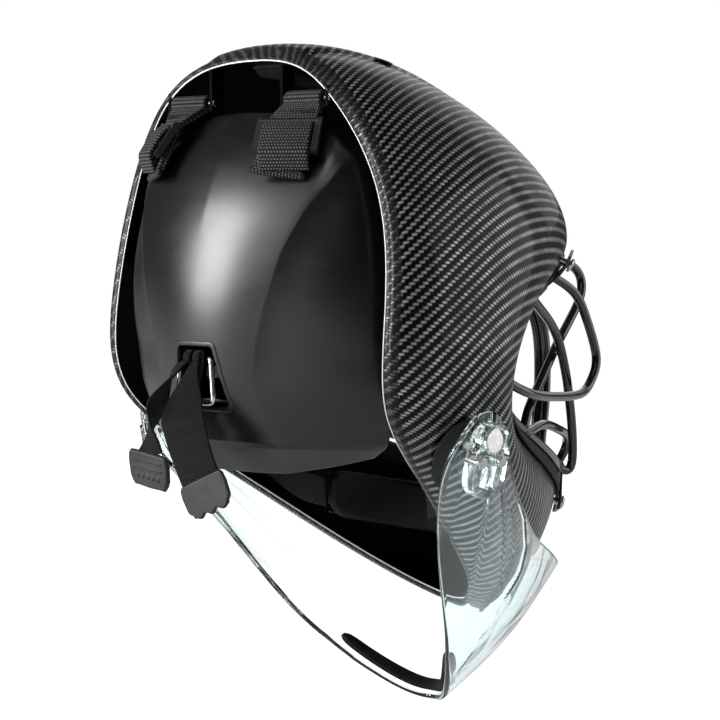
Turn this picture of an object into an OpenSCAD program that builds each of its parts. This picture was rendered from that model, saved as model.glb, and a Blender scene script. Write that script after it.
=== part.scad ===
// Goalkeeper's mask for field hockey: a moulded carbon shell with a steel face cage, a hinged
// back plate that is set by straps, and a clear throat guard that pivots at the jaw.
// The origin is the centre of the head, between the ears. The face looks along -Y, +Z is up.

/* [Shell] */
// Wall of the carbon shell
shell_wall = 3.5; // [2.5:0.1:4.5]
// Facets around the shell, from the crown round to the chin and back
shell_around = 64; // [32:16:80]
// Facets from the face opening to the rear rim
shell_along = 16; // [10:1:20]
// Radius of the two crown vents
vent_r = 4; // [2:0.5:5]

/* [Cage] */
// Diameter of the steel cage wire
wire_d = 5; // [4:0.1:5.4]
// Distance from the edge of the face opening to the frame wire
wire_inset = 7; // [6.5:0.1:8]
// Distance between the two nose bars
nose_gap = 5.6; // [5.6:0.1:9]
// Width of a cage clip
clip_w = 12; // [8:1:14]

/* [Back plate] */
// Wall of the moulded back plate
plate_wall = 3; // [2:0.1:4]
// Height of the back plate's hinge line
hinge_z = 127.5; // [126:0.5:129]
// Distance of the hinge line behind the ears
hinge_y = 57; // [55:0.5:58]
// Radius of the hinge bars
hinge_bar_r = 1.6; // [1.2:0.1:1.8]

/* [Throat guard] */
// Wall of the clear guard
guard_wall = 3; // [2:0.1:3.5]
// Distance of the pivot behind the ears
pivot_y = 12; // [10:0.5:14]
// Height of the pivot
pivot_z = -36; // [-38:0.5:-34]
// Radius of the pivot stud
pivot_r = 3; // [2.5:0.1:3.5]

/* [Straps] */
// Width of the top webbing
webbing_w = 25; // [20:1:27]
// Thickness of the top webbing
webbing_t = 2; // [1.4:0.1:2.4]
// Width of the elastic tails
tail_w = 25; // [20:1:27]
// Thickness of the elastic tails
tail_t = 1.6; // [1.2:0.1:2]
// Diameter of the ring's wire
ring_d = 2.8; // [2.2:0.1:3.2]

/* [Liner] */
// Thickness of the side pads
side_pad = 15; // [8:1:18]
// Thickness of the forehead pad
brow_pad = 20; // [10:1:24]
// Thickness of the crown pad
crown_pad = 12; // [8:1:16]

/* [Hidden] */
fit = 0.05;

// Control net of the shell's outer surface. Each row runs round half the helmet, from the top
// centre to the bottom centre; the rows go from the face opening to the rear rim.
SHELL_NET = [
    [[0, -142, 50], [32, -139, 51], [62, -107, 44], [88, -45, 26], [91, -22, 1],
     [86, -38, -32], [66, -84, -49], [38, -142, -72], [0, -170, -81]],
    [[0, -149, 60], [36, -145, 60], [69, -116, 54], [97, -60, 35], [104, -24, 0],
     [99, -30, -38], [76, -80, -61], [42, -138, -84], [0, -168, -93]],
    [[0, -134, 88], [38, -129, 88], [77, -101, 80], [104, -54, 54], [114, -16, 8],
     [107, -16, -38], [81, -66, -76], [47, -122, -103], [0, -153, -116]],
    [[0, -94, 118], [38, -90, 117], [75, -65, 107], [106, -28, 80], [120, 2, 22],
     [111, 4, -36], [83, -46, -82], [47, -102, -122], [0, -139, -139]],
    [[0, -42, 143], [38, -38, 141], [76, -20, 129], [107, 4, 90], [121, 24, 27],
     [113, 28, -30], [82, -20, -74], [45, -86, -125], [0, -131, -153]],
    [[0, 12, 158], [38, 14, 155], [74, 28, 137], [104, 38, 92], [116, 46, 29],
     [110, 50, -27], [78, -2, -68], [43, -72, -120], [0, -123, -154]],
    [[0, 48, 157], [38, 52, 153], [71, 56, 134], [99, 53, 88], [108, 59, 29],
     [105, 64, -25], [74, 6, -64], [41, -66, -116], [0, -118, -152]],
    [[0, 54, 151], [35, 58, 149], [65, 62, 130], [92, 56, 85], [100, 63, 28],
     [98, 68, -25], [71, 9, -62], [40, -62, -114], [0, -116, -150]]
];

// Control net of the back plate's rear surface: rows from the top edge to the bottom lip, each
// from the centre line to the side. The doubled column makes the crease.
PLATE_NET = [
    [[0, 60, 122], [25, 58, 121], [50, 51, 117], [56, 48, 115], [62, 44, 112], [68, 38, 108]],
    [[0, 75, 108], [30, 73, 107], [66, 62, 104], [68, 61, 103], [76, 53, 98], [80, 44, 94]],
    [[0, 93, 70], [27, 91, 68], [53, 82, 65], [55, 81, 64], [81, 68, 60], [89, 48, 56]],
    [[0, 97, 38], [21, 95, 36], [39, 89, 34], [41, 88, 33], [78, 75, 30], [91, 50, 26]],
    [[0, 95, 6], [15, 94, 6], [29, 89, 6], [33, 87, 6], [74, 73, 3], [91, 50, -1]],
    [[0, 88, -24], [17, 87, -24], [34, 82, -24], [38, 80, -24], [68, 64, -25], [87, 45, -26]],
    [[0, 81, -40], [18, 80, -40], [38, 75, -40], [42, 73, -40], [65, 58, -40], [80, 42, -40]],
    [[0, 80, -43], [18, 79, -43], [38, 74, -43], [42, 72, -43], [63, 57, -43], [77, 41, -42]],
    [[0, 71, -54], [17, 71, -54], [36, 66, -54], [40, 65, -53], [57, 53, -50], [70, 40, -46]]
];

// Control net of the guard's outer surface: rows from the rear edge to the front edge, each from
// the top of the arm to the keel.
GUARD_NET = [
    [[118, 19, -26], [114, 35, -44], [92, 19, -70], [70, -9, -112], [46, -41, -158],
     [16, -73, -187], [0, -81, -189]],
    [[118, 9, -21], [117, 10, -48], [108, -6, -78], [88, -42, -110], [58, -90, -144],
     [10, -131, -161], [0, -137, -166]],
    [[117, -2, -29], [113, -12, -52], [104, -30, -74], [80, -70, -95], [48, -121, -109],
     [8, -174, -123], [0, -182, -127]]
];

// Hand-set points of the cage wires on the left half, between their two ends on the frame wire.
EYE_WIRE = [
    [45, -142, 30], [45, -152, 15], [45, -159, 0], [46, -160, -9],
    [48, -152, -18], [53, -138, -24], [66, -98, -23], [78, -62, -18]
];
DIAGONAL_WIRE = [
    [19, -152, 47], [20, -168, 45], [21, -176, 39], [22, -176, 32], [26, -168, 24],
    [33, -149, 11], [41, -130, 0], [54, -102, -17], [65, -80, -29]
];
OUTER_WIRE = [
    [54, -114, 11], [46, -132, -9], [41, -142, -26],
    [36, -151, -46], [33, -155, -62], [31, -155, -70]
];
NOSE_WIRE = [[0, -157, 26], [0, -167, 5], [0, -168, -28], [0, -164, -56]];
CHIN_WIRE = [[50, -110, -39], [30, -149, -46], [21, -165, -51], [17, -168, -59]];
// Where the wires end on the frame wire, counted in net columns round the opening
EYE_ENDS = [1.5, 4.2];
DIAGONAL_ENDS = [0.6, 5.7];
OUTER_ENDS = [2.45, 7.15];
NOSE_ENDS = [0, 8];
CHIN_ENDS = [5.8, 7.6];
CLIP_PLACES = [2.2, 7.35, 8.65, 13.8];

// The top webbing, from the hinge bar to its folded end on the left half
TOP_STRAP = [[41, 58.6, 123.6], [42, 62.5, 120], [42.5, 67.5, 115], [43, 73, 103], [43.5, 79, 91]];
TOP_STRAP_SIDE = [[1, 0, 0], [0.98, -0.2, 0], [0.88, -0.46, 0], [0.86, -0.5, -0.1], [0.86, -0.5, -0.12]];

// The ring's top bar is the axis of the ring and of both tails
bar_y = 92.5;
bar_z = 2.4;
ring_h = 22;
ring_top = 11;
ring_bottom = 13;
tail_bar = ring_d / 2;
LEFT_TAIL = [
    [3.6, 95.6, 0.4], [8, 99, -5], [16, 103, -20],
    [20.5, 104.5, -33], [22.5, 104, -43], [23, 103, -48]
];
LEFT_SIDE = [[2.2, 0, 0], [4, -2, 0], [5, -10, -2], [9, -7.5, -4], [11.6, -3, -4], [11.8, -1.5, -3.7]];
RIGHT_TAIL = [
    [-3.6, 95.6, 0.4], [-2.8, 98, -6], [-0.4, 102, -20],
    [-4.6, 103.5, -33], [-9.5, 103, -46], [-14.6, 101.5, -58]
];
RIGHT_SIDE = [[2.2, 0, 0], [4, 1, 0], [8.5, 5, -5], [10.5, 3, -5.5], [11.5, 1.5, -4.5], [11.7, 1.4, -4]];

LEFT = [1, 1, 1];
RIGHT = [-1, 1, 1];

function unit(v) = v / norm(v);
function flatten(rows) = [for (row = rows) for (p = row) p];
function scaled(p, s) = [p[0] * s[0], p[1] * s[1], p[2] * s[2]];
function basis(t) = [
    pow(1 - t, 3),
    3 * pow(t, 3) - 6 * t * t + 4,
    -3 * pow(t, 3) + 3 * t * t + 3 * t + 1,
    pow(t, 3)
] / 6;
// Adds a phantom row at each end, so that the spline reaches its end rows
function ended(rows) = concat(
    [2 * rows[0] - rows[1]],
    rows,
    [2 * rows[len(rows) - 1] - rows[len(rows) - 2]]
);

// Closed spline surface of the shell: u counts columns round the helmet, v counts rows
shell_net = ended([
    for (row = SHELL_NET)
    concat(row, [for (i = [len(row) - 2 : -1 : 1]) scaled(row[i], RIGHT)])
]);
shell_rows = len(SHELL_NET) - 1;
shell_cols = len(shell_net[0]);
function shell_point(u, v) =
    let (i = min(floor(v), shell_rows - 1), j = floor(u), b = basis(u - j))
    basis(v - i) * [
        for (k = [0 : 3])
        b * [for (m = [0 : 3]) shell_net[i + k][(j - 1 + m + 2 * shell_cols) % shell_cols]]
    ];
function shell_u(u, v) = unit(shell_point(u + 0.05, v) - shell_point(u - 0.05, v));
function shell_v(u, v) = unit(shell_point(u, min(v + 0.05, shell_rows)) - shell_point(u, max(v - 0.05, 0)));
function shell_normal(u, v) = unit(cross(shell_u(u, v), shell_v(u, v)));
// A point at a depth under the shell's outer surface
function shell_at(u, v, depth) = shell_point(u, v) - shell_normal(u, v) * depth;

// Open spline surface: u and v count columns and rows of a net that is already ended both ways
function open_net(rows) = ended([for (row = rows) ended(row)]);
function mirrored_row(row) = concat(
    [for (i = [len(row) - 1 : -1 : 1]) scaled(row[i], RIGHT)],
    row
);
function open_point(net, u, v) =
    let (
        i = max(0, min(floor(v), len(net) - 4)),
        j = max(0, min(floor(u), len(net[0]) - 4)),
        b = basis(u - j)
    )
    basis(v - i) * [for (k = [0 : 3]) b * [for (m = [0 : 3]) net[i + k][j + m]]];
function open_normal(net, u, v) = unit(cross(
    open_point(net, u + 0.04, v) - open_point(net, u - 0.04, v),
    open_point(net, u, v + 0.04) - open_point(net, u, v - 0.04)
));
function open_at(net, u, v, depth) = open_point(net, u, v) - open_normal(net, u, v) * depth;
plate_net = open_net([for (row = PLATE_NET) mirrored_row(row)]);
guard_net = open_net([
    for (row = GUARD_NET)
    concat([for (p = row) scaled(p, RIGHT)], [for (i = [len(row) - 2 : -1 : 0]) row[i]])
]);
plate_mid = 5;
plate_rows = len(PLATE_NET) - 1;
guard_mid = 6;
guard_rows = len(GUARD_NET) - 1;

// Curve through hand-set points
function curve_at(p, i, t) =
    let (
        b = p[i],
        c = p[i + 1],
        a = i > 0 ? p[i - 1] : 2 * b - c,
        d = i + 2 < len(p) ? p[i + 2] : 2 * c - b
    )
    0.5 * (2 * b + (c - a) * t + (2 * a - 5 * b + 4 * c - d) * t * t + (3 * b - a - 3 * c + d) * t * t * t);
function curve(p, steps) = concat(
    [for (i = [0 : len(p) - 2]) for (k = [0 : steps - 1]) curve_at(p, i, k / steps)],
    [p[len(p) - 1]]
);
function tangents(p) = [
    for (i = [0 : len(p) - 1])
    unit(p[min(i + 1, len(p) - 1)] - p[max(i - 1, 0)])
];
function square_to(n, t) = unit(n - t * (n * t));
// Carries a first normal along a curve without twist
function carried(t, n0) = [
    for (i = 0, n = square_to(n0, t[0]); i < len(t); i = i + 1, n = square_to(n, t[min(i, len(t) - 1)])) n
];
function circle_points(r, sides) = [
    for (k = [0 : sides - 1])
    let (a = 360 * k / sides)
    r * [cos(a), sin(a)]
];

// Solid between two grids of points. closed joins the last column to the first
module between(outer, inner, closed = false) {
    rows = len(outer) - 1;
    cols = len(outer[0]);
    last = closed ? cols - 1 : cols - 2;
    half = (rows + 1) * cols;
    quads = [
        for (i = [0 : rows - 1]) for (j = [0 : last])
        [[i, j], [i + 1, j], [i + 1, j + 1], [i, j + 1]]
    ];
    function at(q, side) = side * half + q[0] * cols + q[1] % cols;
    function split(a, b, c, d) = [[a, b, c], [a, c, d]];
    faces = concat(
        [for (q = quads) for (f = split(at(q[0], 0), at(q[1], 0), at(q[2], 0), at(q[3], 0))) f],
        [for (q = quads) for (f = split(at(q[0], 1), at(q[3], 1), at(q[2], 1), at(q[1], 1))) f],
        [for (j = [0 : last])
            for (f = split(at([0, j], 0), at([0, j + 1], 0), at([0, j + 1], 1), at([0, j], 1))) f],
        [for (j = [0 : last])
            for (f = split(at([rows, j], 0), at([rows, j], 1),
                at([rows, j + 1], 1), at([rows, j + 1], 0))) f],
        closed ? [] : [for (i = [0 : rows - 1])
            for (f = split(at([i, 0], 0), at([i, 0], 1), at([i + 1, 0], 1), at([i + 1, 0], 0))) f],
        closed ? [] : [for (i = [0 : rows - 1])
            for (f = split(at([i, cols - 1], 0), at([i + 1, cols - 1], 0),
                at([i + 1, cols - 1], 1), at([i, cols - 1], 1))) f]
    );
    polyhedron(points = concat(flatten(outer), flatten(inner)), faces = faces);
}

// Solid through a list of rings; looped joins the last ring to the first
module through(rings, looped = false) {
    n = len(rings[0]);
    count = len(rings);
    last = looped ? count - 1 : count - 2;
    function at(i, k) = (i % count) * n + k % n;
    faces = concat(
        [for (i = [0 : last]) for (k = [0 : n - 1]) [at(i, k), at(i + 1, k), at(i + 1, k + 1)]],
        [for (i = [0 : last]) for (k = [0 : n - 1]) [at(i, k), at(i + 1, k + 1), at(i, k + 1)]],
        looped ? [] : [[for (k = [0 : n - 1]) at(0, k)], [for (k = [n - 1 : -1 : 0]) at(count - 1, k)]]
    );
    polyhedron(points = flatten(rings), faces = faces);
}

// Round bar along a curve
module bar(path, d, sides = 8) {
    t = tangents(path);
    n = carried(t, abs(t[0][0]) > 0.9 ? [0, 0, 1] : [1, 0, 0]);
    through([
        for (i = [0 : len(path) - 1])
        [for (c = circle_points(d / 2, sides)) path[i] + n[i] * c[0] + cross(t[i], n[i]) * c[1]]
    ]);
}

// Flat strap along a curve; each side vector is half the strap's width
module strap(path, sides, thick, steps = 5) {
    p = curve(path, steps);
    s = curve(sides, steps);
    t = tangents(p);
    n = [for (i = [0 : len(p) - 1]) unit(cross(t[i], s[i])) * thick / 2];
    through([
        for (i = [0 : len(p) - 1])
        [p[i] + s[i] + n[i], p[i] - s[i] + n[i], p[i] - s[i] - n[i], p[i] + s[i] - n[i]]
    ]);
}

// Sweeps an outline round the edge of the face opening. x runs into the shell, y outward
module round_opening(outline, from = 0, to = 16, steps = 64) {
    looped = to - from == shell_cols;
    through([
        for (k = [0 : looped ? steps - 1 : steps])
        let (u = from + (to - from) * k / steps + shell_cols, d = shell_v(u, 0), n = shell_normal(u, 0))
        [for (q = outline) shell_point(u, 0) + d * q[0] + n * q[1]]
    ], looped);
}
function frame_point(u) = shell_point(u, 0) - shell_v(u, 0) * wire_inset + shell_normal(u, 0);
function cage_path(points, ends) = curve(concat([frame_point(ends[0])], points, [frame_point(ends[1])]), 5);

// Points children's +Z along a direction
module along(place, direction) {
    d = unit(direction);
    translate(place)
        rotate([0, acos(d[2]), atan2(d[1], d[0])])
            children();
}
module at_shell(u, v, depth = 0) {
    along(shell_at(u, v, depth), shell_normal(u, v)) children();
}
module across(place, length, r) {
    translate(place)
        rotate([0, 90, 0])
            cylinder(h = length, r = r, center = true, $fn = 40);
}

// Pad that lies on the inside of the shell
module liner(u0, u1, v0, v1, thick, cells = 10) {
    top = shell_wall + 1;
    function grid(edge_depth, mid_depth) = [
        for (j = [0 : cells]) [
            for (i = [0 : cells])
            let (rim = min(i, j, cells - i, cells - j) / cells * 4)
            shell_at(
                u0 + (u1 - u0) * i / cells + shell_cols,
                v0 + (v1 - v0) * j / cells,
                edge_depth + (mid_depth - edge_depth) * min(1, rim)
            )
        ]
    ];
    between(grid(top, top), grid(top + thick * 0.55, top + thick));
}

VENTS = [[0.85, 4.65], [shell_cols - 0.85, 4.65]];
module shell() {
    color([0.07, 0.07, 0.075])
        difference() {
            between(
                [for (j = [0 : shell_along]) [for (i = [0 : shell_around - 1])
                    shell_at(i * shell_cols / shell_around, j * shell_rows / shell_along, 0)]],
                [for (j = [0 : shell_along]) [for (i = [0 : shell_around - 1])
                    shell_at(i * shell_cols / shell_around, j * shell_rows / shell_along, shell_wall)]],
                true
            );
            for (v = VENTS)
                at_shell(v[0], v[1], 6) cylinder(h = 12, r = vent_r + 1, $fn = 24);
        }
}

module port_trim() {
    lip = 3;
    grip = 7;
    cover = 1.6;
    w = shell_wall;
    color([0.03, 0.03, 0.03])
        round_opening([
            [-lip, -w - cover], [grip, -w - cover], [grip, -w - 0.1], [-0.2, -w - 0.1],
            [-0.2, 0.1], [grip, 0.1], [grip, cover], [-lip, cover]
        ]);
}

module vent_grommets() {
    color([0.02, 0.02, 0.02])
        for (v = VENTS)
            at_shell(v[0], v[1], shell_wall + 1)
                rotate_extrude($fn = 40)
                    polygon([[vent_r - 1, 0], [vent_r + 2.5, 0], [vent_r + 2.5, 0.9], [vent_r + 0.9, 0.9],
                        [vent_r + 0.9, shell_wall + 1.1], [vent_r + 2.2, shell_wall + 1.1],
                        [vent_r + 1.6, shell_wall + 2], [vent_r - 1, shell_wall + 2]]);
}

module cage_frame() {
    color([0.05, 0.05, 0.055])
        round_opening([for (c = circle_points(wire_d / 2, 8)) c + [-wire_inset, 1]]);
}

module eye_bar(side) {
    color([0.05, 0.05, 0.055]) scale(side) bar(cage_path(EYE_WIRE, EYE_ENDS), wire_d);
}
module diagonal_bar(side) {
    color([0.05, 0.05, 0.055]) scale(side) bar(cage_path(DIAGONAL_WIRE, DIAGONAL_ENDS), wire_d);
}
module outer_bar(side) {
    color([0.05, 0.05, 0.055]) scale(side) bar(cage_path(OUTER_WIRE, OUTER_ENDS), wire_d);
}
module nose_bars() {
    color([0.05, 0.05, 0.055])
        for (s = [-1, 1])
            translate([s * nose_gap / 2, 0, 0])
                bar(cage_path(NOSE_WIRE, NOSE_ENDS), wire_d);
}
module chin_bars() {
    color([0.05, 0.05, 0.055])
        for (side = [LEFT, RIGHT])
            scale(side) bar(cage_path(CHIN_WIRE, CHIN_ENDS), wire_d);
}
module temple_cushion(side) {
    from = side[0] > 0 ? 3.35 : shell_cols - 4.35;
    color([0.06, 0.06, 0.06])
        round_opening([for (c = circle_points(4.8, 12)) c + [-wire_inset, 1]], from, from + 1, 8);
}

// Bent clip that hooks the frame wire to the shell. Its tongue follows the shell
tongue = 16;
row_length = 15;
clip_outer = concat(
    [for (x = [tongue : -4 : 4]) [x, 3.6]],
    [for (a = [40 : 30 : 250]) [-wire_inset, 1] + 4.6 * [cos(a), sin(a)]]
);
clip_inner = concat(
    [for (x = [tongue : -4 : 4]) [x, 2]],
    [for (a = [40 : 30 : 250]) [-wire_inset, 1] + 3 * [cos(a), sin(a)]]
);
module cage_clips() {
    steps = 4;
    function place(q, a) = q[0] > 0
        ? shell_at(a, q[0] / row_length, -q[1])
        : shell_point(a, 0) + shell_v(a, 0) * q[0] + shell_normal(a, 0) * q[1];
    color([0.1, 0.1, 0.1])
        for (u = CLIP_PLACES)
            let (turn = clip_w / 2 / norm(shell_point(u + 0.5, 0) - shell_point(u - 0.5, 0)))
                between(
                    [for (k = [0 : steps]) [for (q = clip_outer) place(q, u + turn * (2 * k / steps - 1))]],
                    [for (k = [0 : steps]) [for (q = clip_inner) place(q, u + turn * (2 * k / steps - 1))]]
                );
}
module at_clip(u, depth) {
    at_shell(u, 0.72 * tongue / row_length, depth) children();
}
module clip_screws() {
    color([0.75, 0.75, 0.75])
        for (u = CLIP_PLACES)
            at_clip(u, 8) {
                cylinder(h = 12, r = 1.9, $fn = 24);
                translate([0, 0, 11.9]) cylinder(h = 1.2, r = 3.8, $fn = 32);
                translate([0, 0, 13.1]) cylinder(h = 0.9, r1 = 3.8, r2 = 2.4, $fn = 32);
            }
}
module clip_nuts() {
    color([0.7, 0.7, 0.7])
        for (u = CLIP_PLACES)
            at_clip(u, 10.4)
                difference() {
                    cylinder(h = 4, r = 4, $fn = 6);
                    translate([0, 0, -1]) cylinder(h = 6, r = 1.95, $fn = 24);
                }
}

module forehead_pad() {
    color([0.08, 0.08, 0.08]) liner(-1.7, 1.7, 1.5, 3, brow_pad);
}
module crown_pad() {
    color([0.08, 0.08, 0.08]) liner(-0.42, 0.42, 3.6, 6, crown_pad);
}
module side_pad_for(side) {
    color([0.08, 0.08, 0.08]) scale(side) liner(2.15, 3.75, 2.5, 5.3, side_pad);
}
module jaw_pad(side) {
    color([0.08, 0.08, 0.08]) scale(side) liner(4.5, 6.1, 1.6, 4.2, side_pad);
}

// Cup that holds the chin, slung on two straps
cup_wide = 36;
cup_deep = 46;
cup_y = -48;
cup_z = -90;
function cup_point(a, r, z) = [
    (cup_wide + r) * sin(a),
    cup_y - (cup_deep + r) * cos(a),
    cup_z + z - 10 * cos(a)
];
module chin_cup() {
    color([0.09, 0.09, 0.09])
        between(
            [for (z = [0 : 3]) [for (a = [-100 : 10 : 100]) cup_point(-a, 4 + 2 * sin(60 * z), 8 * z)]],
            [for (z = [0 : 3]) [for (a = [-100 : 10 : 100]) cup_point(-a, 0, 8 * z)]]
        );
}
snap_u = 5.9;
snap_v = 4.7;
STRAP_END = shell_at(snap_u, snap_v, shell_wall + 3);
CHIN_STRAP = [[cup_wide + 1.2, cup_y + 14, cup_z + 14], [50, -24, -71], [62, -10, -61], STRAP_END];
strap_end_side = 8 * unit(cross(CHIN_STRAP[3] - CHIN_STRAP[2], shell_normal(snap_u, snap_v)));
module chin_strap(side) {
    sides = [[0, 1, 8], [-1, 2, 8], (strap_end_side + [-1, 2, 8]) / 2, strap_end_side];
    color([0.1, 0.1, 0.1]) scale(side) strap(CHIN_STRAP, sides, 1.6);
}
module chin_strap_snaps() {
    color([0.6, 0.6, 0.6])
        for (u = [snap_u, shell_cols - snap_u])
            at_shell(u, snap_v, shell_wall + 5.4) {
                cylinder(h = 1.8, r = 4.5, $fn = 32);
                translate([0, 0, 1.8]) cylinder(h = 3.9, r = 1.8, $fn = 24);
            }
}

// Rubbing strip on the shell, behind the guard's arm
module jaw_strip(side) {
    cells = 6;
    function grid(depth) = [
        for (j = [0 : cells]) [
            for (i = [0 : cells])
            shell_at(4.85 + 0.75 * i / cells, 4.05 + 0.35 * i / cells + 0.6 * j / cells, depth)
        ]
    ];
    color([0.08, 0.08, 0.08]) scale(side) between(grid(-1.6), grid(-0.3));
}

stud_in = 101.5;
stud_out = 123.2;
head_h = 2.4;
boss_r = 5;
boss_in = 103;
boss_out = 111.6;
module guard_studs() {
    color([0.8, 0.8, 0.8])
        for (s = [-1, 1])
            translate([0, pivot_y, pivot_z]) {
                across([s * (stud_in + stud_out) / 2, 0, 0], stud_out - stud_in, pivot_r);
                across([s * (stud_out - head_h / 2), 0, 0], head_h, pivot_r + 3);
                across([s * (boss_in + boss_out) / 2, 0, 0], boss_out - boss_in, boss_r);
            }
}

// Brackets under the rim that carry the back plate's hinge bars
bracket_in = 26.5;
bracket_out = 55.5;
bracket_mid = (bracket_in + bracket_out) / 2;
module hinge_brackets() {
    color([0.12, 0.12, 0.12])
        for (s = [-1, 1])
            for (x = [bracket_in - 1, bracket_out + 1])
                difference() {
                    translate([s * x - 1, hinge_y - 6, hinge_z - 4]) cube([2, 8, x > 40 ? 10 : 21]);
                    across([s * x, hinge_y, hinge_z], 6, hinge_bar_r);
                }
}
module hinge_bars() {
    color([0.7, 0.7, 0.7])
        for (s = [-1, 1])
            across([s * bracket_mid, hinge_y, hinge_z], bracket_out - bracket_in + 4.4, hinge_bar_r);
}

plate_pocket = [[-12, 8], [12, 8], [18, -22], [-18, -22]];
module pocket_prism(grow, y0, y1) {
    translate([0, y1, 0])
        rotate([90, 0, 0])
            linear_extrude(height = y1 - y0)
                polygon([for (p = plate_pocket) [p[0] + grow * sign(p[0]), p[1] + grow * sign(p[1])]]);
}
module back_plate() {
    across_cells = 30;
    down_cells = 20;
    function grid(depth) = [
        for (j = [0 : down_cells]) [
            for (i = [0 : across_cells])
            open_at(plate_net, 2 * plate_mid * i / across_cells, plate_rows * j / down_cells, depth)
        ]
    ];
    color([0.09, 0.09, 0.095])
        difference() {
            between(grid(0), grid(plate_wall));
            pocket_prism(0, 60, 120);
        }
}
module back_pad() {
    cells = 12;
    function grid(depth, swell) = [
        for (j = [0 : cells]) [
            for (i = [0 : cells])
            let (rim = min(1, min(i, j, cells - i, cells - j) / cells * 4))
            let (u = plate_mid - 3.6 + 7.2 * i / cells)
            open_at(plate_net, u, 1.2 + 2.6 * j / cells, depth + swell * rim)
        ]
    ];
    color([0.1, 0.1, 0.1]) between(grid(plate_wall + 0.8, 0), grid(plate_wall + 6, 6));
}

// Moulded pocket in the plate with the two lugs that carry the ring's top bar
lug_x = 8.6;
module strap_pocket() {
    color([0.06, 0.06, 0.06]) {
        difference() {
            pocket_prism(1.2, 75, 86);
            pocket_prism(-1.2, 77, 90);
            translate([-9, 70, -8]) cube([18, 10, 5]);
        }
        for (s = [-1, 1])
            difference() {
                translate([s * lug_x - 1.2, 76, bar_z - 3.4]) cube([2.4, bar_y - 76 + 3.4, 6.8]);
                across([s * lug_x, bar_y, bar_z], 6, ring_d / 2 + fit);
            }
    }
}
module pocket_rivets() {
    color([0.2, 0.2, 0.2])
        for (s = [-1, 1])
            translate([s * 13, 77.4, -22])
                rotate([-90, 0, 0])
                    cylinder(h = 1.6, r = 1.8, $fn = 24);
}

loop_r = 4.2;
module top_strap_loops() {
    color([0.1, 0.1, 0.1])
        for (s = [-1, 1])
            difference() {
                across([s * bracket_mid, hinge_y, hinge_z], webbing_w, loop_r);
                across([s * bracket_mid, hinge_y, hinge_z], webbing_w + 2, hinge_bar_r + fit);
            }
}
module top_strap(side) {
    half = [for (s = TOP_STRAP_SIDE) unit(s) * webbing_w / 2];
    color([0.1, 0.1, 0.1]) scale(side) strap(TOP_STRAP, half, webbing_t);
}
// Ladder lock on the webbing: a frame of three bars and two rails
module ladder_lock(side) {
    place = [42.6, 68.6, 113];
    out = unit([0.42, 0.75, 0.51]);
    color([0.08, 0.08, 0.08])
        scale(side)
            translate(place + out * 3.2)
                rotate([0, 0, -29])
                    rotate([34, 0, 0]) {
                        for (z = [-15, -7, 1.5])
                            translate([0, z < 0 ? 0 : 0.4, z])
                                rotate([0, 90, 0])
                                    cylinder(h = 30, r = 1.7, center = true, $fn = 24);
                        for (x = [-14.6, 14.6])
                            translate([x - 1.6, -1.6, -16.5])
                                cube([3.2, 3.4, 19.5]);
                    }
}

module strap_ring() {
    r = ring_d / 2;
    side_r = r - 0.1;
    color([0.8, 0.8, 0.8])
        translate([0, bar_y, bar_z]) {
            across([0, 0, 0], 2 * (ring_top + r), r);
            across([0, 0, -ring_h], 2 * (ring_bottom + r), r);
            for (s = [-1, 1])
                let (step = [s * (ring_bottom - ring_top), 0, -ring_h])
                    along([s * ring_top, 0, 0], step) cylinder(h = norm(step), r = side_r, $fn = 40);
        }
}
module tail_loop(x) {
    color([0.1, 0.1, 0.1])
        difference() {
            across([x, bar_y, bar_z], 5, tail_bar + 2.2);
            across([x, bar_y, bar_z], 8, tail_bar + fit);
        }
}
module tail(path, sides) {
    color([0.1, 0.1, 0.1]) strap(path, [for (s = sides) s * tail_w / 25], tail_t);
}
// Moulded pull tab at the end of a tail
module tail_tab(path, sides) {
    last = len(path) - 1;
    along_tail = unit(path[last] - path[last - 1]);
    side = unit(sides[last]) * tail_w / 2;
    face = unit(cross(along_tail, side)) * 2.2;
    function ring(distance, grow) = [
        for (q = [[1, 1], [-1, 1], [-1, -1], [1, -1]])
        path[last] + along_tail * distance + side * q[0] * grow + face * q[1]
    ];
    color([0.2, 0.2, 0.2]) through([ring(-2, 1.08), ring(3, 1.12), ring(10, 1.08), ring(14, 0.86)]);
}

module throat_guard() {
    across_cells = 36;
    along_cells = 8;
    function grid(depth) = [
        for (j = [0 : along_cells]) [
            for (i = [0 : across_cells])
            open_at(guard_net, 2 * guard_mid * i / across_cells, guard_rows * j / along_cells, depth)
        ]
    ];
    color([0.8, 0.92, 0.92, 0.4])
        difference() {
            between(grid(0), grid(guard_wall));
            across([0, pivot_y, pivot_z], 300, pivot_r + 4);
        }
}
module guard_foam() {
    cells = 10;
    function grid(depth) = [
        for (j = [0 : 2]) [
            for (i = [0 : cells * 2])
            open_at(guard_net, guard_mid - 1.9 + 3.8 * i / cells / 2, 0.03 + 0.06 * j, depth)
        ]
    ];
    color([0.05, 0.05, 0.05]) between(grid(guard_wall + 0.5), grid(guard_wall + 4.5));
}

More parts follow.
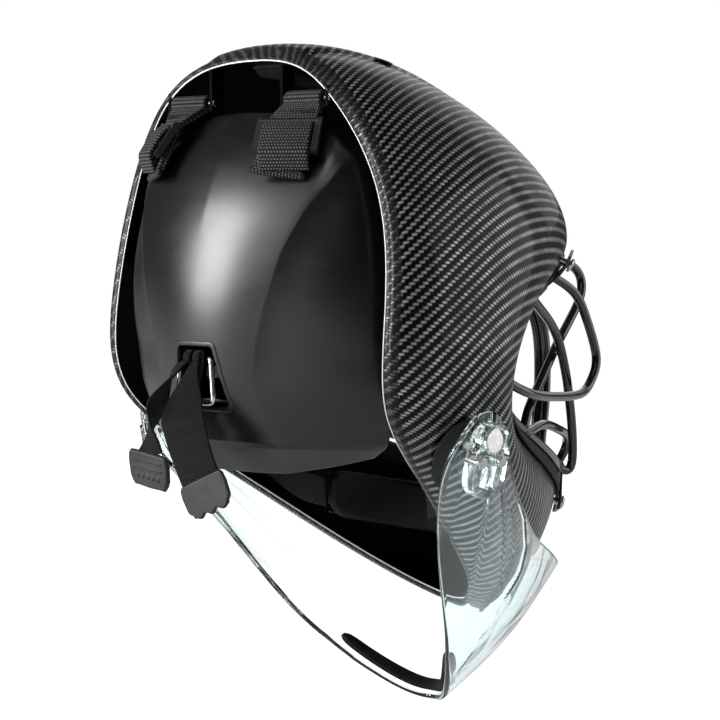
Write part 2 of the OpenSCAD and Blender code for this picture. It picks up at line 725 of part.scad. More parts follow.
// Clear moulded clip on the guard's arm, with the pivot bore
clip_in = 116;
clip_out = 123.4;
clip_lean = 13;
clip_top_r = 10;
clip_foot_r = 11.5;
clip_drop = 16;
sink = 3;
module clip_outline() {
    circle(r = clip_top_r, $fn = 48);
    translate([-clip_foot_r, -clip_drop]) square([2 * clip_foot_r, clip_drop - 4]);
    translate([-clip_top_r, -clip_drop]) square([2 * clip_top_r, clip_drop]);
    translate([0, -clip_drop]) circle(r = clip_foot_r, $fn = 48);
}
module leaning() {
    translate([clip_in, pivot_y, pivot_z])
        rotate([0, clip_lean, 0])
            rotate([90, 0, 90])
                children();
}
module guard_clip(side) {
    color([0.85, 0.95, 0.95, 0.5])
        scale(side)
            difference() {
                leaning()
                    linear_extrude(height = clip_out - clip_in)
                        difference() {
                            clip_outline();
                            for (x = [-5.5, 0.5])
                                translate([x, -clip_drop - 5]) {
                                    translate([-1.5, 0]) square([3, 9]);
                                    circle(r = 1.5, $fn = 32);
                                    translate([0, 9]) circle(r = 1.5, $fn = 32);
                                }
                        }
                across([120, pivot_y, pivot_z], 30, pivot_r + fit);
                across([clip_out - sink + 5, pivot_y, pivot_z], 10, pivot_r + 3.4);
            }
}
module guard_rivets() {
    color([0.8, 0.8, 0.8])
        for (s = [LEFT, RIGHT])
            scale(s)
                leaning()
                    for (x = [-7, 7])
                        translate([x, 7 - clip_drop, -3.4]) {
                            cylinder(h = 11.4, r = 1.7, $fn = 24);
                            translate([0, 0, 10.6]) cylinder(h = 1.2, r = 2.8, $fn = 24);
                        }
}

shell();
port_trim();
vent_grommets();
cage_frame();
eye_bar(LEFT);  // eye_bar_left
eye_bar(RIGHT);  // eye_bar_right
diagonal_bar(LEFT);  // diagonal_bar_left
diagonal_bar(RIGHT);  // diagonal_bar_right
outer_bar(LEFT);  // outer_bar_left
outer_bar(RIGHT);  // outer_bar_right
nose_bars();
chin_bars();
temple_cushion(LEFT);  // temple_cushion_left
temple_cushion(RIGHT);  // temple_cushion_right
cage_clips();
clip_screws();
clip_nuts();
forehead_pad();
crown_pad();
side_pad_for(LEFT);  // side_pad_left
side_pad_for(RIGHT);  // side_pad_right
jaw_pad(LEFT);  // jaw_pad_left
jaw_pad(RIGHT);  // jaw_pad_right
chin_cup();
chin_strap(LEFT);  // chin_strap_left
chin_strap(RIGHT);  // chin_strap_right
chin_strap_snaps();
jaw_strip(LEFT);  // jaw_strip_left
jaw_strip(RIGHT);  // jaw_strip_right
guard_studs();
hinge_brackets();
hinge_bars();
back_plate();
back_pad();
strap_pocket();
pocket_rivets();
top_strap_loops();
top_strap(LEFT);  // top_strap_left
top_strap(RIGHT);  // top_strap_right
ladder_lock(LEFT);  // ladder_lock_left
ladder_lock(RIGHT);  // ladder_lock_right
strap_ring();
tail(LEFT_TAIL, LEFT_SIDE);  // tail_left
tail_loop(3.4);  // tail_left_loop
tail_tab(LEFT_TAIL, LEFT_SIDE);  // tail_left_tab
tail(RIGHT_TAIL, RIGHT_SIDE);  // tail_right
tail_loop(-3.4);  // tail_right_loop
tail_tab(RIGHT_TAIL, RIGHT_SIDE);  // tail_right_tab
throat_guard();
guard_clip(LEFT);  // guard_clip_left
guard_clip(RIGHT);  // guard_clip_right
guard_foam();
guard_rivets();
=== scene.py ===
"""Looks of the goalkeeper's mask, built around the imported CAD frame. Lengths are in millimetres
until a mesh is made; every mesh is in metres, in the CAD frame."""
import math

import bmesh
import bpy
import numpy as np
from mathutils import Matrix, Vector


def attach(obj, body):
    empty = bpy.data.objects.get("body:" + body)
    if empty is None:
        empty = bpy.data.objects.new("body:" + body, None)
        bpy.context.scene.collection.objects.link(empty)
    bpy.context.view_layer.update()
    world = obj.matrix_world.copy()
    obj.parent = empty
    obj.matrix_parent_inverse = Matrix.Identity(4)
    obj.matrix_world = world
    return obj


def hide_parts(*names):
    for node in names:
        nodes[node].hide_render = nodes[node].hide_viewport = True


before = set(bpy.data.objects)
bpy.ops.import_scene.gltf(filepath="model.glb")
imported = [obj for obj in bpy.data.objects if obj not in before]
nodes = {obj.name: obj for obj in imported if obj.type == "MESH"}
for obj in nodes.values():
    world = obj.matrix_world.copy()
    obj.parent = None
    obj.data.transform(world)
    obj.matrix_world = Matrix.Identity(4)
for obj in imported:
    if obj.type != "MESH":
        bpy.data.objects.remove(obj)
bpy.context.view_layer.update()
MM = 0.001

# ---------------------------------------------------------------- camera, light and floor
CAMERA_AZIMUTH = 225
CAMERA_ELEVATION = 3
CAMERA_DISTANCE = 1.3
FLOOR_HEIGHT = -0.232


def direction(azimuth, elevation):
    a, e = math.radians(azimuth), math.radians(elevation)
    return Vector((math.sin(a) * math.cos(e), -math.cos(a) * math.cos(e), math.sin(e)))


def add_camera():
    data = bpy.data.cameras.new("camera")
    data.sensor_width = 36
    data.lens = 126.75
    data.shift_x = 0.0417
    data.shift_y = -0.007
    data.clip_start = 0.05
    data.clip_end = 100
    cam = bpy.data.objects.new("camera", data)
    bpy.context.scene.collection.objects.link(cam)
    back = direction(CAMERA_AZIMUTH, CAMERA_ELEVATION)
    cam.location = back * CAMERA_DISTANCE
    cam.rotation_mode = "QUATERNION"
    cam.rotation_quaternion = (-back).to_track_quat("-Z", "Y")
    bpy.context.scene.camera = cam


def softbox(name, azimuth, elevation, distance, wide, tall, power):
    data = bpy.data.lights.new(name, "AREA")
    data.shape = "RECTANGLE"
    data.size = wide
    data.size_y = tall
    data.energy = power
    lamp = bpy.data.objects.new(name, data)
    bpy.context.scene.collection.objects.link(lamp)
    back = direction(azimuth, elevation)
    lamp.location = back * distance
    lamp.rotation_mode = "QUATERNION"
    lamp.rotation_quaternion = (-back).to_track_quat("-Z", "Y")


def seen_directly(g):
    """1 for the paper seen straight or through clear plastic, 0 for what falls on the mask."""
    rays = g.node("ShaderNodeLightPath")
    return g.math("MAXIMUM", rays.outputs["Is Camera Ray"], rays.outputs["Is Transmission Ray"])


# Name, azimuth, elevation, distance, width, height and power of each softbox
SOFTBOXES = (
    ("strip", 149, 15, 1.8, 0.85, 1.1, 56), ("key", 203, 46, 1.7, 0.5, 0.6, 4),
    ("side", 320, 9, 1.7, 2.0, 1.3, 11), ("top", 235, 78, 1.5, 0.5, 0.9, 1),
    ("back", 45, 24, 2.4, 2.4, 1.2, 4), ("wing", 176, 18, 1.8, 0.8, 1.1, 4),
    ("front", 20, 25, 2.2, 1.4, 1.4, 4))


def add_lights():
    for box in SOFTBOXES:
        softbox(*box)
    world = bpy.data.worlds.new("studio")
    world.use_nodes = True
    g = Graph(world.node_tree)
    sky = world.node_tree.nodes["Background"]
    sky.inputs["Color"].default_value = (1, 1, 1, 1)
    # the paper behind the mask is lit on its own, so it stays white without washing out the blacks
    g.put(sky.inputs["Strength"], g.remap(seen_directly(g), 0, 1, 0.035, 1.0))
    bpy.context.scene.world = world
    bpy.context.scene.view_settings.view_transform = "Standard"
    bpy.context.scene.view_settings.exposure = 0


def add_floor():
    bm = bmesh.new()
    bmesh.ops.create_circle(bm, cap_ends=True, segments=96, radius=9)
    mesh = bpy.data.meshes.new("floor")
    bm.to_mesh(mesh)
    bm.free()
    floor = bpy.data.objects.new("floor", mesh)
    floor.location = (0, 0, FLOOR_HEIGHT)
    bpy.context.scene.collection.objects.link(floor)
    mat, shader, g = new_material("floor_paint")
    shader.inputs["Base Color"].default_value = (0.5, 0.5, 0.5, 1)
    shader.inputs["Roughness"].default_value = 0.9
    shader.inputs["Emission Color"].default_value = (1, 1, 1, 1)
    g.put(shader.inputs["Emission Strength"], g.remap(seen_directly(g), 0, 1, 0.2, 1.0))
    mesh.materials.append(mat)


# ---------------------------------------------------------------- node material helpers
SOCKETS = {"rough": "Roughness", "metal": "Metallic", "spec": "Specular IOR Level", "coat": "Coat Weight",
           "coat_rough": "Coat Roughness", "coat_ior": "Coat IOR", "sheen": "Sheen Weight",
           "sheen_rough": "Sheen Roughness", "ior": "IOR", "clear": "Transmission Weight"}


def new_material(name):
    mat = bpy.data.materials.new(name)
    mat.use_nodes = True
    tree = mat.node_tree
    return mat, tree.nodes["Principled BSDF"], Graph(tree)


def settle(shader, **values):
    """Sets plain values on a shader, each under its short name in SOCKETS."""
    for key, value in values.items():
        shader.inputs[SOCKETS[key]].default_value = value


class Graph:
    """Short names for building a node tree."""

    def __init__(self, tree):
        self.tree = tree

    def node(self, kind, **settings):
        made = self.tree.nodes.new(kind)
        for key, value in settings.items():
            setattr(made, key, value)
        return made

    def put(self, socket, value):
        if isinstance(value, bpy.types.NodeSocket):
            self.tree.links.new(value, socket)
        else:
            socket.default_value = value

    def math(self, op, a, b=0.0, clamp=False):
        made = self.node("ShaderNodeMath", operation=op, use_clamp=clamp)
        for socket, value in zip(made.inputs, (a, b)):
            self.put(socket, value)
        return made.outputs[0]

    def mix(self, factor, a, b):
        made = self.node("ShaderNodeMix", data_type="RGBA")
        self.put(made.inputs[0], factor)
        self.put(made.inputs[6], a)
        self.put(made.inputs[7], b)
        return made.outputs[2]

    def remap(self, value, low, high, new_low, new_high):
        made = self.node("ShaderNodeMapRange")
        for socket, item in zip(made.inputs, (value, low, high, new_low, new_high)):
            self.put(socket, item)
        return made.outputs[0]

    def place(self, size=(1, 1, 1)):
        coords = self.node("ShaderNodeTexCoord")
        mapping = self.node("ShaderNodeMapping")
        self.tree.links.new(coords.outputs["Object"], mapping.inputs["Vector"])
        mapping.inputs["Scale"].default_value = size
        return mapping.outputs[0]

    def noise(self, scale, detail=3.0, vector=None):
        made = self.node("ShaderNodeTexNoise")
        made.inputs["Scale"].default_value = scale
        made.inputs["Detail"].default_value = detail
        made.inputs["Roughness"].default_value = 0.55
        self.tree.links.new(vector if vector is not None else self.place(), made.inputs["Vector"])
        return made.outputs["Fac"]

    def flat(self):
        """The piece's own flat coordinates, in millimetres: across and along."""
        made = self.node("ShaderNodeUVMap", uv_map="weave")
        split = self.node("ShaderNodeSeparateXYZ")
        self.tree.links.new(made.outputs[0], split.inputs[0])
        return split.outputs[0], split.outputs[1]

    def bump(self, shader, height, distance, strength=1.0):
        made = self.node("ShaderNodeBump")
        made.inputs["Strength"].default_value = strength
        made.inputs["Distance"].default_value = distance
        self.tree.links.new(height, made.inputs["Height"])
        self.tree.links.new(made.outputs[0], shader.inputs["Normal"])

    def wear(self):
        """Convex edges and high spots, from 0 to 1."""
        made = self.node("ShaderNodeNewGeometry")
        return self.remap(made.outputs["Pointiness"], 0.52, 0.6, 0.0, 1.0)


def grey(value, tint=(1, 1, 1)):
    return (value * tint[0], value * tint[1], value * tint[2], 1)


def carbon_material(name, coat, dull, jumble=0.0):
    """Twill cloth of carbon tows. Warp floats are painted bright and metallic and weft floats dark, a painted
    highlight and painted shade that stand in for the tows' sheen.
    """
    tow = 1.75
    mat, shader, g = new_material(name)
    x, y = g.flat()
    x = g.math("MULTIPLY", x, -1.0)
    wander = g.math("MULTIPLY", g.math("SUBTRACT", g.noise(28), 0.5), 1.6)
    if jumble:
        twist = g.math("MULTIPLY", g.math("SUBTRACT", g.noise(95, 3), 0.5), jumble)
        x = g.math("ADD", x, twist)
        wander = g.math("SUBTRACT", wander, g.math("MULTIPLY", twist, 0.7))
    x = g.math("ADD", g.math("DIVIDE", x, tow), wander)
    y = g.math("ADD", g.math("DIVIDE", y, tow), wander)
    column = g.math("FLOOR", x)
    row = g.math("FLOOR", y)
    warp_phase = g.math("FLOORED_MODULO", g.math("SUBTRACT", y, column), 4.0)
    cell_phase = g.math("FLOORED_MODULO", g.math("SUBTRACT", row, column), 4.0)
    weft_phase = g.math("FLOORED_MODULO", g.math("SUBTRACT", x, row), 4.0)
    is_warp = g.math("LESS_THAN", cell_phase, 1.5)

    def arch(phase, span):
        wave = g.math("SINE", g.math("MULTIPLY", g.math("DIVIDE", phase, span), math.pi))
        return g.math("POWER", g.math("MAXIMUM", wave, 0.0), 0.6)

    across_warp = arch(g.math("FRACT", x), 1.0)
    across_weft = arch(g.math("FRACT", y), 1.0)
    along_warp = arch(warp_phase, 2.0)
    along_weft = arch(g.math("FLOORED_MODULO", g.math("SUBTRACT", weft_phase, 1.0), 4.0), 2.0)
    warp = g.math("MULTIPLY", across_warp, along_warp)
    weft = g.math("MULTIPLY", across_weft, along_weft)
    height = g.math("ADD", g.math("MULTIPLY", warp, is_warp),
                    g.math("MULTIPLY", g.math("MULTIPLY", weft, 0.8), g.math("SUBTRACT", 1.0, is_warp)))
    # warp floats painted bright: a painted highlight for the tows' sheen
    painted_tow_highlight = g.math("POWER", g.math("MULTIPLY", warp, is_warp), 1.6)
    uneven = g.remap(g.noise(90), 0.3, 0.7, 0.45, 1.15)
    painted_tow_highlight = g.math("MULTIPLY", painted_tow_highlight, uneven, clamp=True)
    dark = 0.008 if jumble else 0.0015
    tow_highlight_grey = 0.008 if dull else 0.13 if jumble else 0.65
    colour = g.mix(painted_tow_highlight, grey(dark), grey(tow_highlight_grey, (1, 1, 1.02)))
    g.put(shader.inputs["Base Color"], colour)
    g.put(shader.inputs["Metallic"], g.remap(painted_tow_highlight, 0.0, 1.0, 0.0, 0.7))
    settle(shader, spec=0.1)
    g.put(shader.inputs["Roughness"], g.remap(height, 0.0, 1.0, 0.6, 0.6 if dull else 0.34))
    g.bump(shader, height, 0.00022, 0.9)
    settle(shader, coat=coat, coat_rough=0.06, coat_ior=1.3)
    return mat


def moulded_material(name, base, rough, grain, coat=0.0):
    """Moulded plastic: fine grain, slow colour drift and scuffed high edges."""
    mat, shader, g = new_material(name)
    drift = g.remap(g.noise(14), 0.3, 0.7, 0.0, 1.0)
    colour = g.mix(drift, grey(base * 0.85), grey(base * 1.2))
    colour = g.mix(g.math("MULTIPLY", g.wear(), 0.35), colour, grey(min(1, base * 4 + 0.02)))
    g.put(shader.inputs["Base Color"], colour)
    smear = g.noise(60, 4, g.place((1, 1, 3)))
    g.put(shader.inputs["Roughness"], g.remap(smear, 0.3, 0.7, rough - 0.02, rough + 0.02))
    g.bump(shader, g.noise(1400, 2), grain, 0.6)
    settle(shader, coat=coat, coat_rough=0.15)
    return mat


def wire_material():
    """Black powder coat on steel wire, slightly rippled."""
    mat, shader, g = new_material("coated_wire")
    colour = g.mix(g.remap(g.noise(40), 0.35, 0.65, 0, 1), grey(0.006), grey(0.014))
    colour = g.mix(g.math("MULTIPLY", g.remap(g.noise(320), 0.66, 0.72, 0, 1), 0.3), colour, grey(0.09))
    g.put(shader.inputs["Base Color"], colour)
    g.put(shader.inputs["Roughness"], g.remap(g.noise(120), 0.3, 0.7, 0.16, 0.28))
    g.bump(shader, g.noise(420, 2), 0.00006, 0.6)
    settle(shader, coat=0.7, coat_rough=0.08)
    return mat


def steel_material():
    """Zinc-bright steel with fine drawing marks and tarnish."""
    mat, shader, g = new_material("bright_steel")
    streak = g.noise(500, 2, g.place((6, 1, 1)))
    g.put(shader.inputs["Base Color"], g.mix(g.noise(90), grey(0.5), grey(0.78, (1, 1, 0.98))))
    settle(shader, metal=1)
    g.put(shader.inputs["Roughness"], g.remap(streak, 0.3, 0.7, 0.16, 0.34))
    g.bump(shader, streak, 0.00002, 0.5)
    return mat


def webbing_material(name, row, dash, dark, float_highlight_grey):
    """Ribbed webbing: staggered floats in rows across the strap, their tops painted lighter and the gaps
    between them darker as painted highlight and painted shade.
    """
    mat, shader, g = new_material(name)
    across, along = g.flat()
    y = g.math("DIVIDE", along, row)
    line = g.math("FLOOR", y)
    stagger = g.math("MULTIPLY", g.math("FLOORED_MODULO", line, 2.0), 0.5)
    x = g.math("ADD", g.math("DIVIDE", across, dash), stagger)
    fx = g.math("SINE", g.math("MULTIPLY", g.math("FRACT", x), math.pi))
    fy = g.math("SINE", g.math("MULTIPLY", g.math("FRACT", y), math.pi))
    height = g.math("MULTIPLY", g.math("POWER", fx, 0.5), g.math("POWER", fy, 0.7))
    fibre = g.noise(1500, 2, g.place((1, 1, 0.4)))
    # painted highlight on the float tops and painted shade between them, varied by the fibre noise
    painted_float_light = g.math("MULTIPLY", g.math("POWER", height, 3.0), g.remap(fibre, 0.3, 0.7, 0.6, 1.2), clamp=True)
    g.put(shader.inputs["Base Color"], g.mix(painted_float_light, grey(dark), grey(float_highlight_grey)))
    settle(shader, rough=0.62, spec=0.2, sheen=0.01, sheen_rough=0.4)
    g.bump(shader, g.math("ADD", height, g.math("MULTIPLY", fibre, 0.25)), 0.0006, 1.0)
    return mat


def fabric_material(name, base, cell=900):
    """Brushed knit over foam: fine cells, fuzz and slightly faded high spots."""
    mat, shader, g = new_material(name)
    knit = g.node("ShaderNodeTexVoronoi", feature="SMOOTH_F1")
    knit.inputs["Scale"].default_value = cell
    g.tree.links.new(g.place((1, 1, 0.8)), knit.inputs["Vector"])
    colour = g.mix(g.remap(g.noise(22), 0.3, 0.7, 0, 1), grey(base * 0.7), grey(base * 1.5))
    colour = g.mix(g.math("MULTIPLY", g.wear(), 0.3), colour, grey(base * 4))
    g.put(shader.inputs["Base Color"], colour)
    settle(shader, rough=0.85, spec=0.15, sheen=0.01, sheen_rough=0.5)
    lump = g.math("ADD", knit.outputs["Distance"], g.math("MULTIPLY", g.noise(180), 0.6))
    g.bump(shader, lump, 0.0005, 0.8)
    return mat


def leather_material():
    """Soft synthetic leather with a pebbled grain."""
    mat, shader, g = new_material("soft_leather")
    pebble = g.node("ShaderNodeTexVoronoi", feature="DISTANCE_TO_EDGE")
    pebble.inputs["Scale"].default_value = 620
    g.tree.links.new(g.place(), pebble.inputs["Vector"])
    crease = g.math("POWER", g.math("MINIMUM", g.math("MULTIPLY", pebble.outputs["Distance"], 4.0), 1.0), 0.5)
    colour = g.mix(g.noise(16), grey(0.003), grey(0.009))
    g.put(shader.inputs["Base Color"], g.mix(g.math("MULTIPLY", g.wear(), 0.4), colour, grey(0.1)))
    g.put(shader.inputs["Roughness"], g.remap(crease, 0, 1, 0.75, 0.45))
    settle(shader, spec=0.2)
    g.bump(shader, crease, 0.0003, 0.6)
    return mat


def rubber_material(name, base, shine=0.25):
    """Matte moulded rubber with dusty bloom."""
    mat, shader, g = new_material(name)
    bloom = g.remap(g.noise(35, 5), 0.4, 0.7, 0, 1)
    colour = g.mix(bloom, grey(base), grey(base * 1.7 + 0.001))
    g.put(shader.inputs["Base Color"], g.mix(g.math("MULTIPLY", g.wear(), 0.3), colour, grey(base * 4)))
    g.put(shader.inputs["Roughness"], g.remap(g.noise(200), 0.3, 0.7, 0.5, 0.68))
    settle(shader, spec=shine)
    g.bump(shader, g.noise(1100, 2), 0.00005, 0.6)
    return mat


def clear_material(name, rough, tint):
    """Clear polycarbonate with faint haze, scratches and moulding ripple."""
    mat, shader, g = new_material(name)
    haze = g.remap(g.noise(25, 4), 0.35, 0.75, 0, 1)
    scratch = g.remap(g.noise(240, 6, g.place((1, 0.15, 1))), 0.62, 0.75, 0, 1)
    glance = g.node("ShaderNodeLayerWeight")
    glance.inputs["Blend"].default_value = 0.35
    body = g.mix(haze, tint, tuple(0.5 + 0.5 * c for c in tint[:3]) + (1,))
    deep = tuple(0.42 * c for c in tint[:3]) + (1,)
    g.put(shader.inputs["Base Color"], g.mix(g.math("POWER", glance.outputs["Facing"], 2.5), body, deep))
    g.put(shader.inputs["Roughness"], g.math("ADD", g.remap(haze, 0, 1, rough, rough + 0.01),
                                            g.math("MULTIPLY", scratch, 0.05)))
    settle(shader, ior=1.5, clear=1)
    g.bump(shader, g.noise(30, 2), 0.0006, 0.35)
    return mat


def highlight_edge_material():
    """Cut and lacquered edge of the carbon laminate, painted near white as a painted highlight along the
    rolled edges, streaked by its layers.
    """
    mat, shader, g = new_material("laminate_edge_highlight")
    layer = g.noise(900, 2, g.place((1, 1, 5)))
    g.put(shader.inputs["Base Color"], g.mix(g.remap(layer, 0.35, 0.65, 0, 1), grey(0.7), grey(0.95)))
    settle(shader, rough=0.3, coat=1)
    g.bump(shader, layer, 0.00008, 0.5)
    return mat


M = {
    "carbon": carbon_material("carbon_twill", 0.3, False),
    "carbon_rim": carbon_material("carbon_rim", 0.2, False, 9.0),
    "carbon_inside": carbon_material("carbon_inside", 0.0, True),
    # near-white painted highlight for the shell's rolled edges and rear rim
    "edge": highlight_edge_material(),
    "plate": moulded_material("satin_plate", 0.005, 0.3, 0.00002),
    # lighter colour for the lip's rear faces: a painted highlight
    "lip": moulded_material("plate_lip_highlight", 0.028, 0.5, 0.00003),
    "plastic": moulded_material("black_plastic", 0.003, 0.4, 0.00005),
    "wire": wire_material(),
    "steel": steel_material(),
    "clip": moulded_material("clip_paint", 0.02, 0.3, 0.00002, 0.4),
    "trim": rubber_material("trim_rubber", 0.006),
    "bracket": rubber_material("bracket_paint", 0.0005, 0.02),
    "strip": rubber_material("strip_rubber", 0.01),
    "tab": rubber_material("tab_rubber", 0.022),
    "foam": fabric_material("liner_fabric", 0.003),
    "strip_foam": fabric_material("strip_foam", 0.006, 500),
    "webbing": webbing_material("ribbed_webbing", 1.65, 1.5, 0.001, 0.11),
    "elastic": webbing_material("knit_elastic", 0.8, 1.2, 0.0015, 0.005),
    "thread": fabric_material("bonded_thread", 0.012, 2500),
    "leather": leather_material(),
    "clear": clear_material("clear_guard", 0.015, (0.84, 0.965, 0.965, 1)),
    "clear_rim": clear_material("clear_rim", 0.08, (0.45, 0.53, 0.54, 1)),
    "clear_block": clear_material("clear_block", 0.06, (0.88, 0.97, 0.97, 1)),
}


# ---------------------------------------------------------------- spline surfaces
def basis(t):
    t = np.asarray(t, float)[..., None]
    parts = [(1 - t) ** 3, 3 * t ** 3 - 6 * t * t + 4, -3 * t ** 3 + 3 * t * t + 3 * t + 1, t ** 3]
    return np.concatenate(parts, -1) / 6


def ended(rows):
    """Adds a phantom row at each end, so that the spline reaches its end rows."""
    rows = np.asarray(rows, float)
    return np.concatenate([[2 * rows[0] - rows[1]], rows, [2 * rows[-1] - rows[-2]]])


class Net:
    """Uniform cubic spline surface: u counts columns and v counts rows."""

    def __init__(self, rows, closed):
        rows = np.asarray(rows, float)
        self.closed = closed
        self.net = ended(rows) if closed else np.array([ended(r) for r in ended(rows)])
        self.top = len(rows) - 1
        self.wide = rows.shape[1] if closed else rows.shape[1] - 1

    def point(self, u, v):
        u, v = np.broadcast_arrays(np.asarray(u, float), np.asarray(v, float))
        i = np.clip(np.floor(v), 0, self.top - 1).astype(int)
        if self.closed:
            j = np.floor(u).astype(int)
            shift, count = -1, self.net.shape[1]
        else:
            j = np.clip(np.floor(u), 0, self.wide - 1).astype(int)
            shift, count = 0, 10 ** 6
        a, b = basis(v - i), basis(u - j)
        out = np.zeros(u.shape + (3,))
        for k in range(4):
            for m in range(4):
                out += (a[..., k] * b[..., m])[..., None] * self.net[i + k, (j + m + shift) % count]
        return out

    def along_u(self, u, v):
        return unit(self.point(np.asarray(u) + 0.05, v) - self.point(np.asarray(u) - 0.05, v))

    def along_v(self, u, v):
        v = np.asarray(v, float)
        return unit(self.point(u, np.minimum(v + 0.05, self.top)) - self.point(u, np.maximum(v - 0.05, 0)))

    def normal(self, u, v):
        return unit(np.cross(self.along_u(u, v), self.along_v(u, v)))

    def at(self, u, v, depth):
        return self.point(u, v) - self.normal(u, v) * np.asarray(depth, float)[..., None]


def unit(v):
    v = np.asarray(v, float)
    return v / np.linalg.norm(v, axis=-1, keepdims=True)


def flipped(points, side):
    """Points as they are for side 1, and mirrored to the helmet's right for side -1."""
    return np.asarray(points, float) * (side, 1, 1)


def smooth(t):
    t = np.clip(t, 0, 1)
    return t * t * (3 - 2 * t)


# Control nets and wires, the same as in the CAD source
SHELL_NET = [
    [[0, -142, 50], [32, -139, 51], [62, -107, 44], [88, -45, 26], [91, -22, 1],
     [86, -38, -32], [66, -84, -49], [38, -142, -72], [0, -170, -81]],
    [[0, -149, 60], [36, -145, 60], [69, -116, 54], [97, -60, 35], [104, -24, 0],
     [99, -30, -38], [76, -80, -61], [42, -138, -84], [0, -168, -93]],
    [[0, -134, 88], [38, -129, 88], [77, -101, 80], [104, -54, 54], [114, -16, 8],
     [107, -16, -38], [81, -66, -76], [47, -122, -103], [0, -153, -116]],
    [[0, -94, 118], [38, -90, 117], [75, -65, 107], [106, -28, 80], [120, 2, 22],
     [111, 4, -36], [83, -46, -82], [47, -102, -122], [0, -139, -139]],
    [[0, -42, 143], [38, -38, 141], [76, -20, 129], [107, 4, 90], [121, 24, 27],
     [113, 28, -30], [82, -20, -74], [45, -86, -125], [0, -131, -153]],
    [[0, 12, 158], [38, 14, 155], [74, 28, 137], [104, 38, 92], [116, 46, 29],
     [110, 50, -27], [78, -2, -68], [43, -72, -120], [0, -123, -154]],
    [[0, 48, 157], [38, 52, 153], [71, 56, 134], [99, 53, 88], [108, 59, 29],
     [105, 64, -25], [74, 6, -64], [41, -66, -116], [0, -118, -152]],
    [[0, 54, 151], [35, 58, 149], [65, 62, 130], [92, 56, 85], [100, 63, 28],
     [98, 68, -25], [71, 9, -62], [40, -62, -114], [0, -116, -150]]
]
PLATE_NET = [
    [[0, 60, 122], [25, 58, 121], [50, 51, 117], [56, 48, 115], [62, 44, 112], [68, 38, 108]],
    [[0, 75, 108], [30, 73, 107], [66, 62, 104], [68, 61, 103], [76, 53, 98], [80, 44, 94]],
    [[0, 93, 70], [27, 91, 68], [53, 82, 65], [55, 81, 64], [81, 68, 60], [89, 48, 56]],
    [[0, 97, 38], [21, 95, 36], [39, 89, 34], [41, 88, 33], [78, 75, 30], [91, 50, 26]],
    [[0, 95, 6], [15, 94, 6], [29, 89, 6], [33, 87, 6], [74, 73, 3], [91, 50, -1]],
    [[0, 88, -24], [17, 87, -24], [34, 82, -24], [38, 80, -24], [68, 64, -25], [87, 45, -26]],
    [[0, 81, -40], [18, 80, -40], [38, 75, -40], [42, 73, -40], [65, 58, -40], [80, 42, -40]],
    [[0, 80, -43], [18, 79, -43], [38, 74, -43], [42, 72, -43], [63, 57, -43], [77, 41, -42]],
    [[0, 71, -54], [17, 71, -54], [36, 66, -54], [40, 65, -53], [57, 53, -50], [70, 40, -46]]
]
GUARD_NET = [
    [[118, 19, -26], [114, 35, -44], [92, 19, -70], [70, -9, -112], [46, -41, -158],
     [16, -73, -187], [0, -81, -189]],
    [[118, 9, -21], [117, 10, -48], [108, -6, -78], [88, -42, -110], [58, -90, -144],
     [10, -131, -161], [0, -137, -166]],
    [[117, -2, -29], [113, -12, -52], [104, -30, -74], [80, -70, -95], [48, -121, -109],
     [8, -174, -123], [0, -182, -127]]
]
EYE_WIRE = [
    [45, -142, 30], [45, -152, 15], [45, -159, 0], [46, -160, -9],
    [48, -152, -18], [53, -138, -24], [66, -98, -23], [78, -62, -18]
]
DIAGONAL_WIRE = [
    [19, -152, 47], [20, -168, 45], [21, -176, 39], [22, -176, 32], [26, -168, 24],
    [33, -149, 11], [41, -130, 0], [54, -102, -17], [65, -80, -29]
]
OUTER_WIRE = [[54, -114, 11], [46, -132, -9], [41, -142, -26], [36, -151, -46], [33, -155, -62],
              [31, -155, -70]]
NOSE_WIRE = [[0, -157, 26], [0, -167, 5], [0, -168, -28], [0, -164, -56]]
CHIN_WIRE = [[50, -110, -39], [30, -149, -46], [21, -165, -51], [17, -168, -59]]
EYE_ENDS = [1.5, 4.2]
DIAGONAL_ENDS = [0.6, 5.7]
OUTER_ENDS = [2.45, 7.15]
NOSE_ENDS = [0, 8]
CHIN_ENDS = [5.8, 7.6]
TOP_STRAP = [[41, 58.6, 123.6], [42, 62.5, 120], [42.5, 67.5, 115], [43, 73, 103], [43.5, 79, 91]]
TOP_STRAP_SIDE = [[1, 0, 0], [0.98, -0.2, 0], [0.88, -0.46, 0], [0.86, -0.5, -0.1], [0.86, -0.5, -0.12]]
LEFT_TAIL = [
    [3.6, 95.6, 0.4], [8, 99, -5], [16, 103, -20],
    [20.5, 104.5, -33], [22.5, 104, -43], [23, 103, -48]
]
LEFT_SIDE = [[2.2, 0, 0], [4, -2, 0], [5, -10, -2], [9, -7.5, -4], [11.6, -3, -4], [11.8, -1.5, -3.7]]
RIGHT_TAIL = [
    [-3.6, 95.6, 0.4], [-2.8, 98, -6], [-0.4, 102, -20],
    [-4.6, 103.5, -33], [-9.5, 103, -46], [-14.6, 101.5, -58]
]
RIGHT_SIDE = [[2.2, 0, 0], [4, 1, 0], [8.5, 5, -5], [10.5, 3, -5.5], [11.5, 1.5, -4.5], [11.7, 1.4, -4]]

SHELL = Net([row + [flipped(p, -1) for p in row[-2:0:-1]] for row in SHELL_NET], True)
PLATE = Net([[flipped(p, -1) for p in row[:0:-1]] + row for row in PLATE_NET], False)
GUARD = Net([[flipped(p, -1) for p in row] + row[-2::-1] for row in GUARD_NET], False)
SHELL_COLS, SHELL_ROWS = SHELL.wide, SHELL.top
PLATE_MID, PLATE_ROWS = PLATE.wide / 2, PLATE.top
GUARD_MID, GUARD_ROWS = GUARD.wide / 2, GUARD.top

